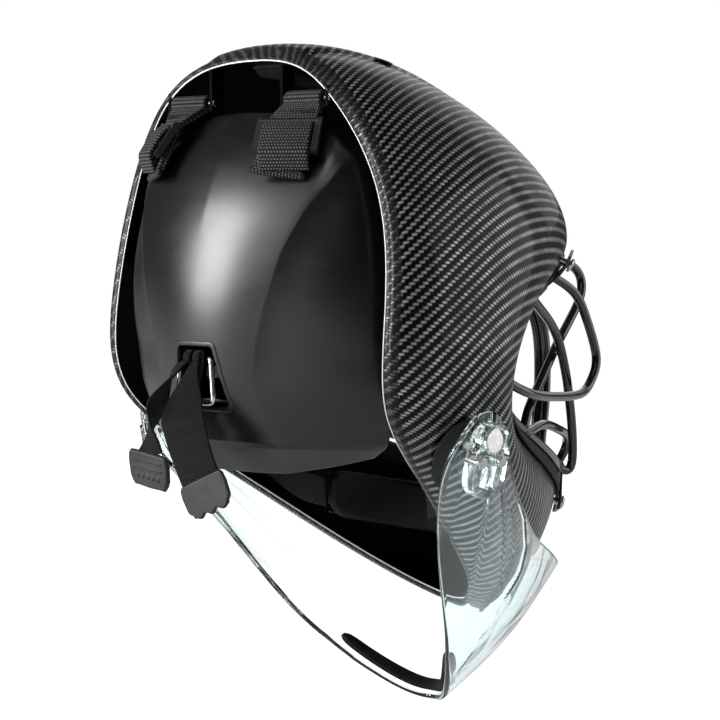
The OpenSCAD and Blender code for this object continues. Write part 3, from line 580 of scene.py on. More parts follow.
# Sizes shared with the CAD source
shell_wall, plate_wall, guard_wall = 3.5, 3.0, 3.0
wire_r, wire_inset = 2.5, 7.0
bar_y, bar_z, ring_r = 92.5, 2.4, 1.4
ring_h, ring_top, ring_bottom = 22.0, 11.0, 13.0
hinge_x, hinge_y, hinge_z = 41.0, 57.0, 127.5
pivot_y, pivot_z, bore_r = 12.0, -36.0, 7.0
POCKET = np.array([(-12, 8), (12, 8), (18, -22), (-18, -22)], float)
VENTS = ((0.85, 4.65), (SHELL_COLS - 0.85, 4.65))
VENT_R = 5.0
# Half width of the 25 mm webbing
WEBBING = 12.5


# ---------------------------------------------------------------- curves
def curve(points, steps=12):
    """Smooth curve through given points."""
    p = np.asarray(points, float)
    full = ended(p)
    out = []
    for i in range(len(p) - 1):
        a, b, c, d = full[i:i + 4]
        for k in range(steps):
            t = k / steps
            out.append(0.5 * (2 * b + (c - a) * t + (2 * a - 5 * b + 4 * c - d) * t * t
                              + (3 * b - a - 3 * c + d) * t ** 3))
    return np.array(out + [p[-1]])


def tangents(path, looped=False):
    if looped:
        return unit(np.roll(path, -1, 0) - np.roll(path, 1, 0))
    return unit(np.concatenate([[path[1] - path[0]], path[2:] - path[:-2], [path[-1] - path[-2]]]))


def carried(t, first):
    """Carries a first normal along a curve without twist."""
    n = [unit(first - t[0] * np.dot(first, t[0]))]
    for k in range(1, len(t)):
        n.append(unit(n[-1] - t[k] * np.dot(n[-1], t[k])))
    return np.array(n)


def lengths(path):
    return np.concatenate([[0], np.cumsum(np.linalg.norm(np.diff(path, axis=0), axis=1))])


def circle(r, sides):
    a = np.arange(sides) * 2 * math.pi / sides
    return np.stack([r * np.cos(a), r * np.sin(a)], 1)


def rounded_box(half_w, half_t, r, steps=4):
    """Outline of a rounded rectangle, anticlockwise."""
    out = []
    for cx, cy, start in ((1, 1, 0), (-1, 1, 90), (-1, -1, 180), (1, -1, 270)):
        for k in range(steps + 1):
            a = math.radians(start + 90 * k / steps)
            out.append((cx * (half_w - r) + r * math.cos(a), cy * (half_t - r) + r * math.sin(a)))
    return np.array(out)


# ---------------------------------------------------------------- mesh helpers
def made_object(name, mesh, body, materials, replaces=()):
    obj = bpy.data.objects.new(name, mesh)
    bpy.context.scene.collection.objects.link(obj)
    for m in materials:
        mesh.materials.append(M[m])
    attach(obj, body)
    if replaces:
        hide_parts(*replaces)
    return obj


def lattice_mesh(name, grid, wrap_rows=False, wrap_cols=False, flat=None, slots=None):
    """Mesh of a grid of points in mm. flat gives the corner coordinates of the weave, with one
    more row or column where the grid wraps, and slots the material of each row of faces."""
    grid = np.asarray(grid, float)
    rows, cols = grid.shape[:2]
    last_row = rows if wrap_rows else rows - 1
    last_col = cols if wrap_cols else cols - 1
    faces, corners, kinds = [], [], []
    for i in range(last_row):
        for j in range(last_col):
            quad = ((i, j), (i + 1, j), (i + 1, j + 1), (i, j + 1))
            faces.append([(a % rows) * cols + b % cols for a, b in quad])
            corners.append(quad)
            kinds.append(slots[i] if slots is not None else 0)
    if wrap_cols and not wrap_rows:
        faces.append(list(range(cols)))
        faces.append([(rows - 1) * cols + j for j in range(cols - 1, -1, -1)])
        corners.append([(0, j) for j in range(cols)])
        corners.append([(rows - 1, j) for j in range(cols - 1, -1, -1)])
        kinds += [kinds[0], kinds[-1]]
    mesh = bpy.data.meshes.new(name)
    mesh.from_pydata((grid.reshape(-1, 3) * MM).tolist(), [], faces)
    if flat is not None:
        layer = mesh.uv_layers.new(name="weave")
        values = np.array([flat[a][b] for face in corners for a, b in face], np.float32)
        layer.data.foreach_set("uv", values.ravel())
    mesh.polygons.foreach_set("material_index", kinds)
    mesh.polygons.foreach_set("use_smooth", [True] * len(faces))
    mesh.update()
    tidy_normals(mesh)
    return mesh


def tidy_normals(mesh):
    bm = bmesh.new()
    bm.from_mesh(mesh)
    bmesh.ops.recalc_face_normals(bm, faces=bm.faces)
    bm.to_mesh(mesh)
    bm.free()


def joined(name, meshes):
    """One mesh from several."""
    bm = bmesh.new()
    for m in meshes:
        bm.from_mesh(m)
    out = bpy.data.meshes.new(name)
    bm.to_mesh(out)
    bm.free()
    return out


def apply_modifiers(obj):
    bpy.context.view_layer.update()
    graph = bpy.context.evaluated_depsgraph_get()
    obj.data = bpy.data.meshes.new_from_object(obj.evaluated_get(graph))
    obj.modifiers.clear()


def drilled(obj, drills):
    """Cuts the drills' shapes out of a piece."""
    drill = bpy.data.objects.new("drill", joined("drill", drills))
    bpy.context.scene.collection.objects.link(drill)
    mod = obj.modifiers.new("holes", "BOOLEAN")
    mod.operation = "DIFFERENCE"
    mod.object = drill
    mod.solver = "EXACT"
    apply_modifiers(obj)
    bpy.data.objects.remove(drill)


def tube_mesh(name, path, r, sides=20, looped=False, round_ends=False):
    """Round rod along a path; r may change along it."""
    path = np.asarray(path, float)
    t = tangents(path, looped)
    n = carried(t, np.array((0.0, 0, 1)) if abs(t[0][0]) > 0.9 else np.array((1.0, 0, 0)))
    if looped:
        # spread the twist that is left over after one round
        b0 = np.cross(t[0], n[0])
        back = unit(n[-1] - t[0] * np.dot(n[-1], t[0]))
        turn = math.atan2(np.dot(back, b0), np.dot(back, n[0]))
    r = np.broadcast_to(np.asarray(r, float), (len(path),))
    s = lengths(path)
    rings = []
    for k in range(len(path)):
        b = np.cross(t[k], n[k])
        extra = -turn * k / len(path) if looped else 0
        angle = np.arange(sides) * 2 * math.pi / sides + extra
        rings.append(path[k] + r[k] * (np.cos(angle)[:, None] * n[k] + np.sin(angle)[:, None] * b))
    if round_ends and not looped:
        head = [path[0] + (rings[0] - path[0]) * math.cos(a) - t[0] * r[0] * math.sin(a)
                for a in np.radians((80, 60, 40, 20))]
        tail = [path[-1] + (rings[-1] - path[-1]) * math.cos(a) + t[-1] * r[-1] * math.sin(a)
                for a in np.radians((20, 40, 60, 80))]
        rings = head + rings + tail
        s = np.concatenate([[s[0]] * 4, s, [s[-1]] * 4])
    turns = 2 * math.pi * float(r[0])
    rows = len(rings) + (1 if looped else 0)
    s = np.append(s, s[-1] + 1) if looped else s
    flat = [[(turns * j / sides, s[i]) for j in range(sides + 1)] for i in range(rows)]
    return lattice_mesh(name, rings, looped, True, flat)


def strap_mesh(name, path, sides, half_t, steps=10):
    """Flat strap: side vectors are half its width; flat coordinates run across and along."""
    p = curve(path, steps)
    s = curve(sides, steps)
    t = tangents(p)
    n = unit(np.cross(t, s))
    dist = lengths(p)
    rings, flat = [], []
    for k in range(len(p)):
        outline = rounded_box(np.linalg.norm(s[k]), half_t, half_t * 0.9)
        side = unit(s[k])
        rings.append([p[k] + side * q[0] + n[k] * q[1] for q in outline])
        row = [(q[0], dist[k]) for q in outline]
        flat.append(row + row[:1])
    return lattice_mesh(name, rings, False, True, flat)


def stitches(name, start, end, count, up, r=0.28, reach=0.72):
    """Row of thread stitches from start to end, lying on a surface that faces up."""
    start, end, up = (np.asarray(v, float) for v in (start, end, up))
    step = (end - start) / count
    up = unit(up)
    meshes = []
    for k in range(count):
        a = start + step * (k + 0.5 - reach / 2)
        b = start + step * (k + 0.5 + reach / 2)
        mid = (a + b) / 2 + up * r * 0.7
        path = curve([a - up * r * 0.6, mid, b - up * r * 0.6], 3)
        meshes.append(tube_mesh("stitch", path, r, 6))
    return joined(name, meshes)


def lathe_mesh(name, profile, place, axis, sides=48):
    """Turned shape: profile points are (radius, height) along axis from place."""
    axis = unit(axis)
    side = unit(np.cross(axis, (0, 0, 1) if abs(axis[2]) < 0.9 else (1, 0, 0)))
    other = np.cross(axis, side)
    a = np.arange(sides) * 2 * math.pi / sides
    ring = np.cos(a)[:, None] * side + np.sin(a)[:, None] * other
    rows = [np.asarray(place, float) + axis * h + ring * max(r, 0.001) for r, h in profile]
    return lattice_mesh(name, rows, False, True)


def round_opening(outline, steps=192):
    """Sweeps an outline round the face opening; x runs into the shell and y outward."""
    u = SHELL_COLS * np.arange(steps) / steps
    edge, d, n = SHELL.point(u, 0), SHELL.along_v(u, 0), SHELL.normal(u, 0)
    return [[edge[k] + d[k] * q[0] + n[k] * q[1] for q in outline] for k in range(len(u))]


def frame_point(u):
    """Centre of the cage's frame wire, just inside the face opening."""
    return SHELL.point(u, 0) - SHELL.along_v(u, 0) * wire_inset + SHELL.normal(u, 0)


def finished_copy(node, name, body, material, bevel=0.3, segments=2):
    """A CAD node's own shape with broken edges, as a new piece that stands for it."""
    bm = bmesh.new()
    bm.from_mesh(nodes[node].data)
    bmesh.ops.remove_doubles(bm, verts=bm.verts, dist=0.00001)
    bmesh.ops.dissolve_limit(bm, angle_limit=math.radians(0.6), verts=bm.verts, edges=bm.edges)
    mesh = bpy.data.meshes.new(name)
    bm.to_mesh(mesh)
    bm.free()
    mesh.materials.clear()
    mesh.polygons.foreach_set("use_smooth", [True] * len(mesh.polygons))
    mesh.set_sharp_from_angle(angle=math.radians(35))
    obj = made_object(name, mesh, body, [material], [node])
    mod = obj.modifiers.new("edges", "BEVEL")
    mod.width = bevel * MM
    mod.segments = segments
    mod.limit_method = "ANGLE"
    mod.angle_limit = math.radians(35)
    mod.harden_normals = False
    obj.modifiers.new("shading", "WEIGHTED_NORMAL").keep_sharp = True


# ---------------------------------------------------------------- shell
CROWN_RISE = 2.2
# Rows of the shell from here to the rear rim have jumbled weave
RIM_ROW = 6.15


def crown_step(p, v):
    """Height of the raised centre panel over the shell, in mm."""
    wide = 37 - 4 * smooth((v - 3) / 3)
    on_top = smooth((v - 0.9) / 0.8) * smooth((6.7 - v) / 0.8) * smooth((p[..., 2] - 60) / 30)
    return CROWN_RISE * smooth((wide + 2.0 - np.abs(p[..., 0])) / 4) * on_top


def shell_outer(u, v):
    p = SHELL.point(u, v)
    rim_side = smooth((np.abs(p[..., 0]) - 60) / 25)
    chamfer = 2.0 * smooth((v - 6.45) / 0.55) * (0.25 + 0.75 * rim_side)
    lift = crown_step(p, v) - CROWN_RISE / 2 - chamfer
    return p + SHELL.normal(u, v) * np.asarray(lift)[..., None]


def make_shell():
    around, along = 288, 132
    bend = 6
    u = np.arange(around) * SHELL_COLS / around
    v = np.linspace(0, SHELL_ROWS, along + 1)
    V, U = np.meshgrid(v, u, indexing="ij")
    outer = shell_outer(U, V)
    inner = SHELL.at(U, V, np.full(U.shape, shell_wall))
    rings = list(outer)
    kinds = [0 if row < RIM_ROW else 3 for row in v[1:]]
    for start, stop, sign in ((outer[-1], inner[-1], 1), (inner[0], outer[0], -1)):
        out = SHELL.along_v(u, SHELL_ROWS if sign > 0 else 0.0) * sign
        mid, half = (start + stop) / 2, (start - stop) / 2
        swell = np.linalg.norm(half, axis=-1, keepdims=True) * 0.45
        edge = [mid + half * math.cos(a) + out * swell * math.sin(a)
                for a in np.linspace(0, math.pi, bend + 1)[1:-1]]
        # roll segments of kind 1 take the near-white edge colour, a painted highlight along the rims
        if sign > 0:
            rings += edge + list(inner[::-1])
            kinds += [3] * 3 + [1] * 3 + [2] * along
        else:
            rings += edge
            kinds += [1] * bend
    across = np.concatenate([[0], np.cumsum(np.linalg.norm(np.diff(SHELL.point(
        np.append(u, SHELL_COLS), 4.2), axis=0), axis=1))])
    across = np.where(np.arange(around + 1) > around / 2, across - across[-1], across)
    down = np.zeros((along + 1, around + 1))
    step = np.linalg.norm(np.diff(outer, axis=0), axis=-1)
    down[1:, :around] = np.cumsum(step, axis=0)
    down[:, around] = down[:, 0]
    down -= down[along // 2]
    round_edge = [down[-1:] + 0.7 * k for k in range(1, bend)]
    whole = np.concatenate([down] + round_edge + [down[::-1], np.repeat(down[:1], bend, 0)])
    flat = [[(across[j], row[j]) for j in range(around + 1)] for row in whole]
    mesh = lattice_mesh("carbon_shell", rings, True, True, flat, kinds)
    shell = made_object("carbon_shell", mesh, "helmet",
                        ["carbon", "edge", "carbon_inside", "carbon_rim"], ["shell"])
    drilled(shell, [lathe_mesh("drill", [(VENT_R, -4), (VENT_R, 12)], SHELL.at(a, b, 6.0), SHELL.normal(a, b))
                    for a, b in VENTS])
    # thin near-white bead at the rear rim's inner corner: a painted highlight line
    corner = SHELL.at(u, SHELL_ROWS, np.full(around, 3.2)) + SHELL.along_v(u, SHELL_ROWS) * 0.3
    made_object("rear_rim_highlight_bead", tube_mesh("rear_rim_highlight_bead", corner, 0.32, 10, looped=True), "helmet",
                ["edge"])


def make_grommets():
    profile = [(3, 0), (6.2, 0), (6.5, 0.4), (6.2, 0.9), (4.9, 0.9), (4.9, 4.6), (6.1, 4.6),
               (6.3, 5.0), (5.9, 5.5), (4.6, 5.75), (3.5, 5.6), (3.0, 5.2), (3, 0)]
    meshes = [lathe_mesh("vent", profile, SHELL.at(u, v, shell_wall + 1.0), SHELL.normal(u, v))
              for u, v in VENTS]
    made_object("vent_rims", joined("vent_rims", meshes), "helmet", ["plastic"],
                ["vent_grommets"])


def make_port_trim():
    w, cover, lip, grip = shell_wall, 1.6, 3.0, 7.0
    outline = ([(-lip + 1.6 * (1 - math.cos(a)), -w - cover + 1.6 * (1 - math.sin(a)))
                for a in np.radians((0, 30, 60, 90))]
               + [(grip - 0.6, -w - cover), (grip, -w - cover + 0.5), (grip - 0.2, -w - 0.1),
                  (-0.2, -w - 0.1), (-0.2, 0.1), (grip - 0.2, 0.1), (grip, cover - 0.5),
                  (grip - 0.6, cover - 0.1), (grip * 0.45, cover)]
               + [(-lip + 1.6 * (1 - math.cos(a)), cover - 1.6 * (1 - math.sin(a)))
                  for a in np.radians((90, 60, 30, 0))])
    mesh = lattice_mesh("face_opening_trim", round_opening(outline), True, True)
    made_object("face_opening_trim", mesh, "helmet", ["trim"], ["port_trim"])


# ---------------------------------------------------------------- cage
def weld_bead(place, along_a, r=3.1):
    """Small uneven blob of weld where two wires meet."""
    profile = [(0.01, -r), (r * 0.5, -r * 0.87), (r * 0.87, -r * 0.5), (r, 0), (r * 0.87, r * 0.5),
               (r * 0.5, r * 0.87), (0.01, r)]
    return lathe_mesh("weld", profile, place, along_a, 16)


def cage_path(points, ends):
    """Bent wire through given points, with its bends eased as on a bending jig."""
    path = curve([frame_point(ends[0])] + list(points) + [frame_point(ends[1])], 14)
    dist = lengths(path)
    count = int(dist[-1] / 1.5)
    even = np.stack([np.interp(np.linspace(0, dist[-1], count), dist, path[:, k]) for k in range(3)], 1)
    reach = 9
    padded = np.concatenate([2 * even[0] - even[reach:0:-1], even, 2 * even[-1] - even[-2:-reach - 2:-1]])
    weights = np.exp(-(np.arange(-reach, reach + 1) / 3.4) ** 2 / 2)
    return sum(w * padded[k:k + count] for k, w in enumerate(weights / weights.sum()))


def nearest(path_a, path_b):
    """Where two wires pass closest, and how far apart their centres are there."""
    gap = np.linalg.norm(path_a[:, None] - path_b[None], axis=-1)
    i, j = np.unravel_index(np.argmin(gap), gap.shape)
    return (path_a[i] + path_b[j]) / 2, gap[i, j]


def make_cage():
    ring = round_opening([(c[0] - wire_inset, c[1] + 1) for c in circle(wire_r, 20)])
    made_object("cage_frame_wire", lattice_mesh("cage_frame_wire", ring, True, True), "helmet",
                ["wire"], ["cage_frame"])
    wires = (("eye_bar", EYE_WIRE, EYE_ENDS), ("diagonal_bar", DIAGONAL_WIRE, DIAGONAL_ENDS),
             ("outer_bar", OUTER_WIRE, OUTER_ENDS))
    paths = {}
    for label, points, ends in wires:
        path = cage_path(points, ends)
        for word, side in (("left", 1), ("right", -1)):
            name = f"{label}_{word}_wire"
            paths[name] = flipped(path, side)
            made_object(name, tube_mesh(name, paths[name], wire_r), "helmet",
                        ["wire"], [f"{label}_{word}"])
    nose = cage_path(NOSE_WIRE, NOSE_ENDS)
    pair = [nose + (s * 2.8, 0, 0) for s in (-1, 1)]
    made_object("nose_wires", joined("nose_wires", [tube_mesh("nose", p, wire_r) for p in pair]),
                "helmet", ["wire"], ["nose_bars"])
    chin = cage_path(CHIN_WIRE, CHIN_ENDS)
    chins = [flipped(chin, s) for s in (1, -1)]
    made_object("chin_wires", joined("chin_wires", [tube_mesh("chin", p, wire_r) for p in chins]),
                "helmet", ["wire"], ["chin_bars"])
    beads = []
    for path in list(paths.values()) + pair + chins:
        beads.append(weld_bead(path[0], path[1] - path[0]))
        beads.append(weld_bead(path[-1], path[-1] - path[-2]))
    names = list(paths)
    for i, a in enumerate(names):
        for b in names[i + 1:]:
            place, gap = nearest(paths[a][8:-8], paths[b][8:-8])
            if gap < 2 * wire_r + 0.2:
                beads.append(weld_bead(place, (0, 0, 1), 2.7))
    welds = made_object("cage_welds", joined("cage_welds", beads), "helmet", ["wire"])
    bump = welds.modifiers.new("uneven", "DISPLACE")
    lumps = bpy.data.textures.new("weld_lumps", "CLOUDS")
    lumps.noise_scale = 0.003
    bump.texture = lumps
    bump.texture_coords = "LOCAL"
    bump.strength = 0.0012
    apply_modifiers(welds)


def make_temple_cushions():
    for word, side, start in (("left", 1, 3.35), ("right", -1, SHELL_COLS - 4.35)):
        u = start + np.linspace(0, 1, 33)
        centre = frame_point(u)
        swell = 5.1 * np.clip(1 - np.abs(np.linspace(-1, 1, 33)) ** 9, 0.0, 1) ** 0.5
        swell = np.maximum(swell, 2.6)
        name = f"temple_roll_{word}"
        roll = tube_mesh(name, centre, swell, 28)
        made_object(name, roll, "helmet", ["foam"], [f"temple_cushion_{word}"])
        seam = tube_mesh(name + "_seam", centre[2:-2] + SHELL.normal(u, 0)[2:-2] * 5.0, 0.45, 8)
        made_object(name + "_seam", seam, "helmet", ["thread"])


def make_clips():
    finished_copy("cage_clips", "cage_clip_plates", "helmet", "clip", 0.35)
    finished_copy("clip_screws", "cage_screws", "helmet", "steel", 0.25)
    finished_copy("clip_nuts", "cage_nuts", "helmet", "steel", 0.3)


# ---------------------------------------------------------------- sheets, cushions and strips
def slab_mesh(name, outer, inner, bend=4, swell=0.6, rim_slot=0):
    """Solid between two grids of points, with rounded edges all round."""
    outer, inner = np.asarray(outer, float), np.asarray(inner, float)
    rows, cols = outer.shape[:2]
    loop = ([(0, j) for j in range(cols - 1)] + [(i, cols - 1) for i in range(rows - 1)]
            + [(rows - 1, j) for j in range(cols - 1, 0, -1)] + [(i, 0) for i in range(rows - 1, 0, -1)])
    a, b = np.array(loop).T
    near_a, near_b = np.clip(a, 1, rows - 2), np.clip(b, 1, cols - 2)
    start, stop = outer[a, b], inner[a, b]
    out = unit(start - outer[near_a, near_b])
    mid, half = (start + stop) / 2, (start - stop) / 2
    reach = np.linalg.norm(half, axis=-1, keepdims=True) * swell
    rims = [mid + half * math.cos(t) + out * reach * math.sin(t)
            for t in np.linspace(0, math.pi, bend + 1)[1:-1]]
    count = rows * cols
    points = np.concatenate([outer.reshape(-1, 3), inner.reshape(-1, 3)] + rims)
    size = len(loop)
    rings = ([[i * cols + j for i, j in loop]] + [[2 * count + k * size + m for m in range(size)]
             for k in range(len(rims))] + [[count + i * cols + j for i, j in loop]])
    faces, kinds = [], []
    for side in (0, count):
        for i in range(rows - 1):
            for j in range(cols - 1):
                faces.append([side + i * cols + j, side + (i + 1) * cols + j,
                              side + (i + 1) * cols + j + 1, side + i * cols + j + 1])
                kinds.append(0)
    for one, two in zip(rings, rings[1:]):
        for m in range(size):
            n = (m + 1) % size
            faces.append([one[m], one[n], two[n], two[m]])
            kinds.append(rim_slot)
    mesh = bpy.data.meshes.new(name)
    mesh.from_pydata((points * MM).tolist(), [], faces)
    mesh.polygons.foreach_set("material_index", kinds)
    mesh.polygons.foreach_set("use_smooth", [True] * len(faces))
    mesh.update()
    tidy_normals(mesh)
    return mesh


def cushion(name, at, u0, u1, v0, v1, back, thick, body, node, grooves):
    """Cushion on the inside of a surface: rounded corners, crowned face, pressed seams and a
    piped edge. at gives a point from u, v and depth; grooves are seams across u or v."""
    around, rings, power = 120, 26, 5.0
    theta = (np.arange(around) + 0.5) * 2 * math.pi / around
    cx = np.sign(np.cos(theta)) * np.abs(np.cos(theta)) ** (2 / power)
    cy = np.sign(np.sin(theta)) * np.abs(np.sin(theta)) ** (2 / power)
    rho = np.sin(np.linspace(0.03, math.pi / 2, rings))[:, None]
    x, y = rho * cx, rho * cy
    u, v = (u0 + u1) / 2 + x * (u1 - u0) / 2, (v0 + v1) / 2 + y * (v1 - v0) / 2
    round_off = np.sqrt(np.clip(1 - rho ** 7, 0, 1))
    press = np.ones_like(x)
    for axis, place in grooves:
        far = (x if axis == "u" else y) - place
        press = np.minimum(press, 1 - 0.42 * np.exp(-(far / 0.045) ** 2))
    puff = 1 + 0.06 * np.sin(5.1 * x + 2.3 * y) * np.sin(4.3 * y - 1.1)
    seam, crown = 0.42, 0.58
    front = at(u, v, back + thick * (seam + crown * round_off * press * puff * np.ones_like(x)))
    rear = at(u, v, back + thick * seam * (1 - round_off) * np.ones_like(x))
    grid = np.concatenate([front, rear[::-1][1:]])
    mesh = lattice_mesh(name, grid, False, True)
    made_object(name, mesh, body, ["foam"], [node])
    edge = at(u[-1], v[-1], back + thick * np.full(around, seam))
    out = unit(edge - at(u[-3], v[-3], back + thick * np.full(around, seam)))
    piping = tube_mesh(name + "_piping", edge + out * 0.2, 0.75, 10, looped=True)
    made_object(name + "_piping", piping, body, ["thread"])


def runner(at, u0, u1, v0, v1, d0, d1, steps):
    """Long strip on a surface, rounded in section and at both ends."""
    outline = rounded_box(1, 1, 0.45, 4)
    k = np.linspace(-1, 1, steps)
    taper = np.clip(1 - np.abs(k) ** 40, 0.0, 1) ** 0.5
    taper = np.maximum(taper, 0.35)
    rings = []
    for s, size in zip(k, taper):
        u = (u0 + u1) / 2 + s * (u1 - u0) / 2
        v = (v0 + v1) / 2 + outline[:, 0] * size * (v1 - v0) / 2
        d = (d0 + d1) / 2 + outline[:, 1] * size * (d1 - d0) / 2
        rings.append(at(np.full(len(v), u), v, d))
    return lattice_mesh("runner", rings, False, True)


def make_pads():
    wall = shell_wall + 1
    cushion("forehead_cushion", SHELL.at, -1.7, 1.7, 1.5, 3, wall, 20, "helmet", "forehead_pad",
            (("u", -0.5), ("u", 0.5), ("u", 0)))
    cushion("crown_cushion", SHELL.at, -0.42, 0.42, 3.6, 6, wall, 12, "helmet", "crown_pad",
            (("v", -0.33), ("v", 0.33)))
    for word, a, b in (("left", 2.15, 3.75), ("right", 12.25, 13.85)):
        cushion(f"side_cushion_{word}", SHELL.at, a, b, 2.5, 5.3, wall, 15, "helmet",
                f"side_pad_{word}", (("v", 0.0),))
    for word, a, b in (("left", 4.5, 6.1), ("right", 9.9, 11.5)):
        cushion(f"jaw_cushion_{word}", SHELL.at, a, b, 1.6, 4.2, wall, 15, "helmet",
                f"jaw_pad_{word}", (("u", 0.0),))
    mid = PLATE_MID
    cushion("neck_cushion", PLATE.at, mid - 3.6, mid + 3.6, 1.2, 3.8, plate_wall + 0.8, 11,
            "back_plate", "back_pad", (("u", -0.4), ("u", 0.4)))


def cup_point(a, r, z):
    a = np.radians(a)
    return np.stack([(36 + r) * np.sin(a), -48 - (46 + r) * np.cos(a), -90 + z - 10 * np.cos(a)], -1)


def make_chin_cup():
    outline = rounded_box(3.2, 13, 2.9, 6)
    turn = np.linspace(-100, 100, 97)
    size = np.maximum(np.clip(1 - np.abs(turn / 100) ** 24, 0, 1) ** 0.5, 0.55)
    rings = []
    for a, s in zip(turn, size):
        z = 12 + outline[:, 1] * s
        bulge = 1 + 0.35 * np.cos((z - 12) / 13 * math.pi / 2)
        r = 3.0 + outline[:, 0] * bulge * s * 0.95
        rings.append(cup_point(np.full(len(z), a), r, z))
    made_object("chin_cup_body", lattice_mesh("chin_cup_body", rings, False, True), "helmet",
                ["leather"], ["chin_cup"])
    a = np.linspace(-97, 97, 60)
    for label, z in (("upper", 22.6), ("lower", 1.4)):
        path = cup_point(a, np.full(60, 6.4 if z > 12 else 6.2), np.full(60, z))
        made_object(f"chin_cup_{label}_welt", tube_mesh("welt", path, 0.7, 10, round_ends=True),
                    "helmet", ["thread"])
    ribs = []
    for a in (-54, -27, 0, 27, 54):
        z = np.linspace(4, 20, 12)
        out = 6.6 + 0.9 * np.sin((z - 4) / 16 * math.pi)
        ribs.append(tube_mesh("rib", cup_point(np.full(12, a), out - 0.3, z), 0.5, 8, round_ends=True))
    made_object("chin_cup_seams", joined("chin_cup_seams", ribs), "helmet", ["thread"])


SNAP_U, SNAP_V = 5.9, 4.7


def make_chin_straps():
    end = SHELL.at(SNAP_U, SNAP_V, shell_wall + 3)
    path = np.array([(37.2, -34, -76), (50, -24, -71), (62, -10, -61), end])
    last = 8 * unit(np.cross(path[3] - path[2], SHELL.normal(SNAP_U, SNAP_V)))
    first = np.array((-1.0, 2, 8))
    sides = np.array([(0, 1, 8), first, (last + first) / 2, last])
    for word, s in (("left", 1), ("right", -1)):
        flip = (s, 1, 1)
        mesh = strap_mesh("strap", path * flip, sides * flip, 0.8, 14)
        made_object(f"chin_webbing_{word}", mesh, "helmet", ["elastic"],
                    [f"chin_strap_{word}"])
        rows = []
        for k in (-0.7, 0.7):
            a, b = (path[0] + sides[0] * k) * flip, (path[1] + sides[1] * k) * flip
            rows.append(stitches("rows", a, b, 7, np.cross(b - a, sides[0] * flip) * -s))
        made_object(f"chin_webbing_{word}_thread", joined("rows", rows), "helmet",
                    ["thread"])
    finished_copy("chin_strap_snaps", "strap_snaps", "helmet", "steel", 0.3)


# Rear and front edges of the dark band that follows the guard arm, as u, v on the shell
STRIP_REAR = ((4.9, 3.5), (4.95, 3.9), (5.05, 4.3), (5.2, 4.65), (5.4, 5), (5.7, 5.4))
STRIP_FRONT = ((5, 3.5), (5.05, 3.85), (5.2, 4.1), (5.35, 4.4), (5.6, 4.7), (5.9, 5.1))


def make_jaw_strips():
    rear, front = (curve(np.pad(np.array(line), ((0, 0), (0, 1))), 10) for line in (STRIP_REAR, STRIP_FRONT))
    j, i = np.meshgrid(np.linspace(0, 1, 21), np.arange(len(rear)), indexing="ij")
    for word, s in (("left", 1), ("right", -1)):
        u, v = (rear[i, k] * (1 - j) + front[i, k] * j for k in (0, 1))
        u = u if s > 0 else SHELL_COLS - u
        rib = 0.12 * np.cos(j * 2 * math.pi * 5)
        mesh = slab_mesh("strip", SHELL.at(u, v, -1.45 - rib), SHELL.at(u, v, -0.35 + 0 * u), 4, 0.8)
        made_object(f"jaw_band_{word}", mesh, "helmet", ["strip"], [f"jaw_strip_{word}"])


# ---------------------------------------------------------------- back plate and its straps
# Half width between the plate's two creases, at each v
PLATE_CREASE = ((0.5, 71), (0.9, 70), (1.35, 66), (1.8, 58), (2.35, 50), (2.8, 46), (3.4, 40), (4, 35),
                (4.6, 32))
# The turned-in lower lip starts at this height
LIP_TOP = -41.5


def plate_sink(p, v):
    """How far the side panels lie behind the creases, in mm, with a soft fold down the middle."""
    rows, places = np.array(PLATE_CREASE).T
    past = np.abs(p[..., 0]) - np.interp(v, rows, places)
    fade = smooth((v - 0.5) / 0.6) * smooth((4.7 - v) / 0.9)
    sides = 2.5 * fade * (1 - np.exp(-np.maximum(past, 0) / 8))
    middle = 0.35 * np.exp(-np.abs(p[..., 0] + 3) / 6) * smooth((v - 0.9) / 0.4) * smooth((2.3 - v) / 0.5)
    lip = 0.6 * np.exp(-np.abs(v - 6.05) / 0.35)
    return sides - middle - lip


def make_plate():
    down, across = 128, 176
    v, u = np.meshgrid(np.linspace(0, PLATE_ROWS, down), np.linspace(0, PLATE.wide, across),
                       indexing="ij")
    sink = plate_sink(PLATE.point(u, v), v)
    outer = PLATE.at(u, v, sink)
    inner = PLATE.at(u, v, plate_wall + 0.4 * np.maximum(sink, 0))
    mesh = slab_mesh("rear_plate", outer, inner, 6, 0.7)
    plate = made_object("rear_plate", mesh, "back_plate", ["plate", "lip"],
                        ["back_plate"])
    rows = [[(x, y, z) for x, z in rounded_outline(POCKET, 2.2)] for y in (60, 120)]
    drilled(plate, [lattice_mesh("drill", rows, False, True)])
    plate.data.set_sharp_from_angle(angle=math.radians(50))
    # the lip's rear-facing faces take the lighter lip colour, a painted highlight
    for face in plate.data.polygons:
        if face.center.z < LIP_TOP * MM and face.normal.y > 0:
            face.material_index = 1


def rounded_outline(corners, r, steps=6):
    """Closed outline with each corner rounded off."""
    p = np.asarray(corners, float)
    out = []
    for k in range(len(p)):
        before, here, after = p[k - 1], p[k], p[(k + 1) % len(p)]
        a, b = unit(before - here), unit(after - here)
        half = math.acos(np.clip(np.dot(a, b), -1, 1)) / 2
        reach = r / math.tan(half)
        centre = here + unit(a + b) * r / math.sin(half)
        start, stop = here + a * reach, here + b * reach
        for t in np.linspace(0, 1, steps + 1):
            away = start * (1 - t) + stop * t - centre
            out.append(centre + unit(away) * r)
    return np.array(out)


def spaced(outline, corner=7, extra=14):
    """Adds points along the straight sides of an outline whose corners have a set number of points."""
    out = []
    for k, (a, b) in enumerate(zip(outline, np.roll(outline, -1, 0))):
        count = extra if (k + 1) % corner == 0 else 1
        out += [a + (b - a) * m / count for m in range(count)]
    return out


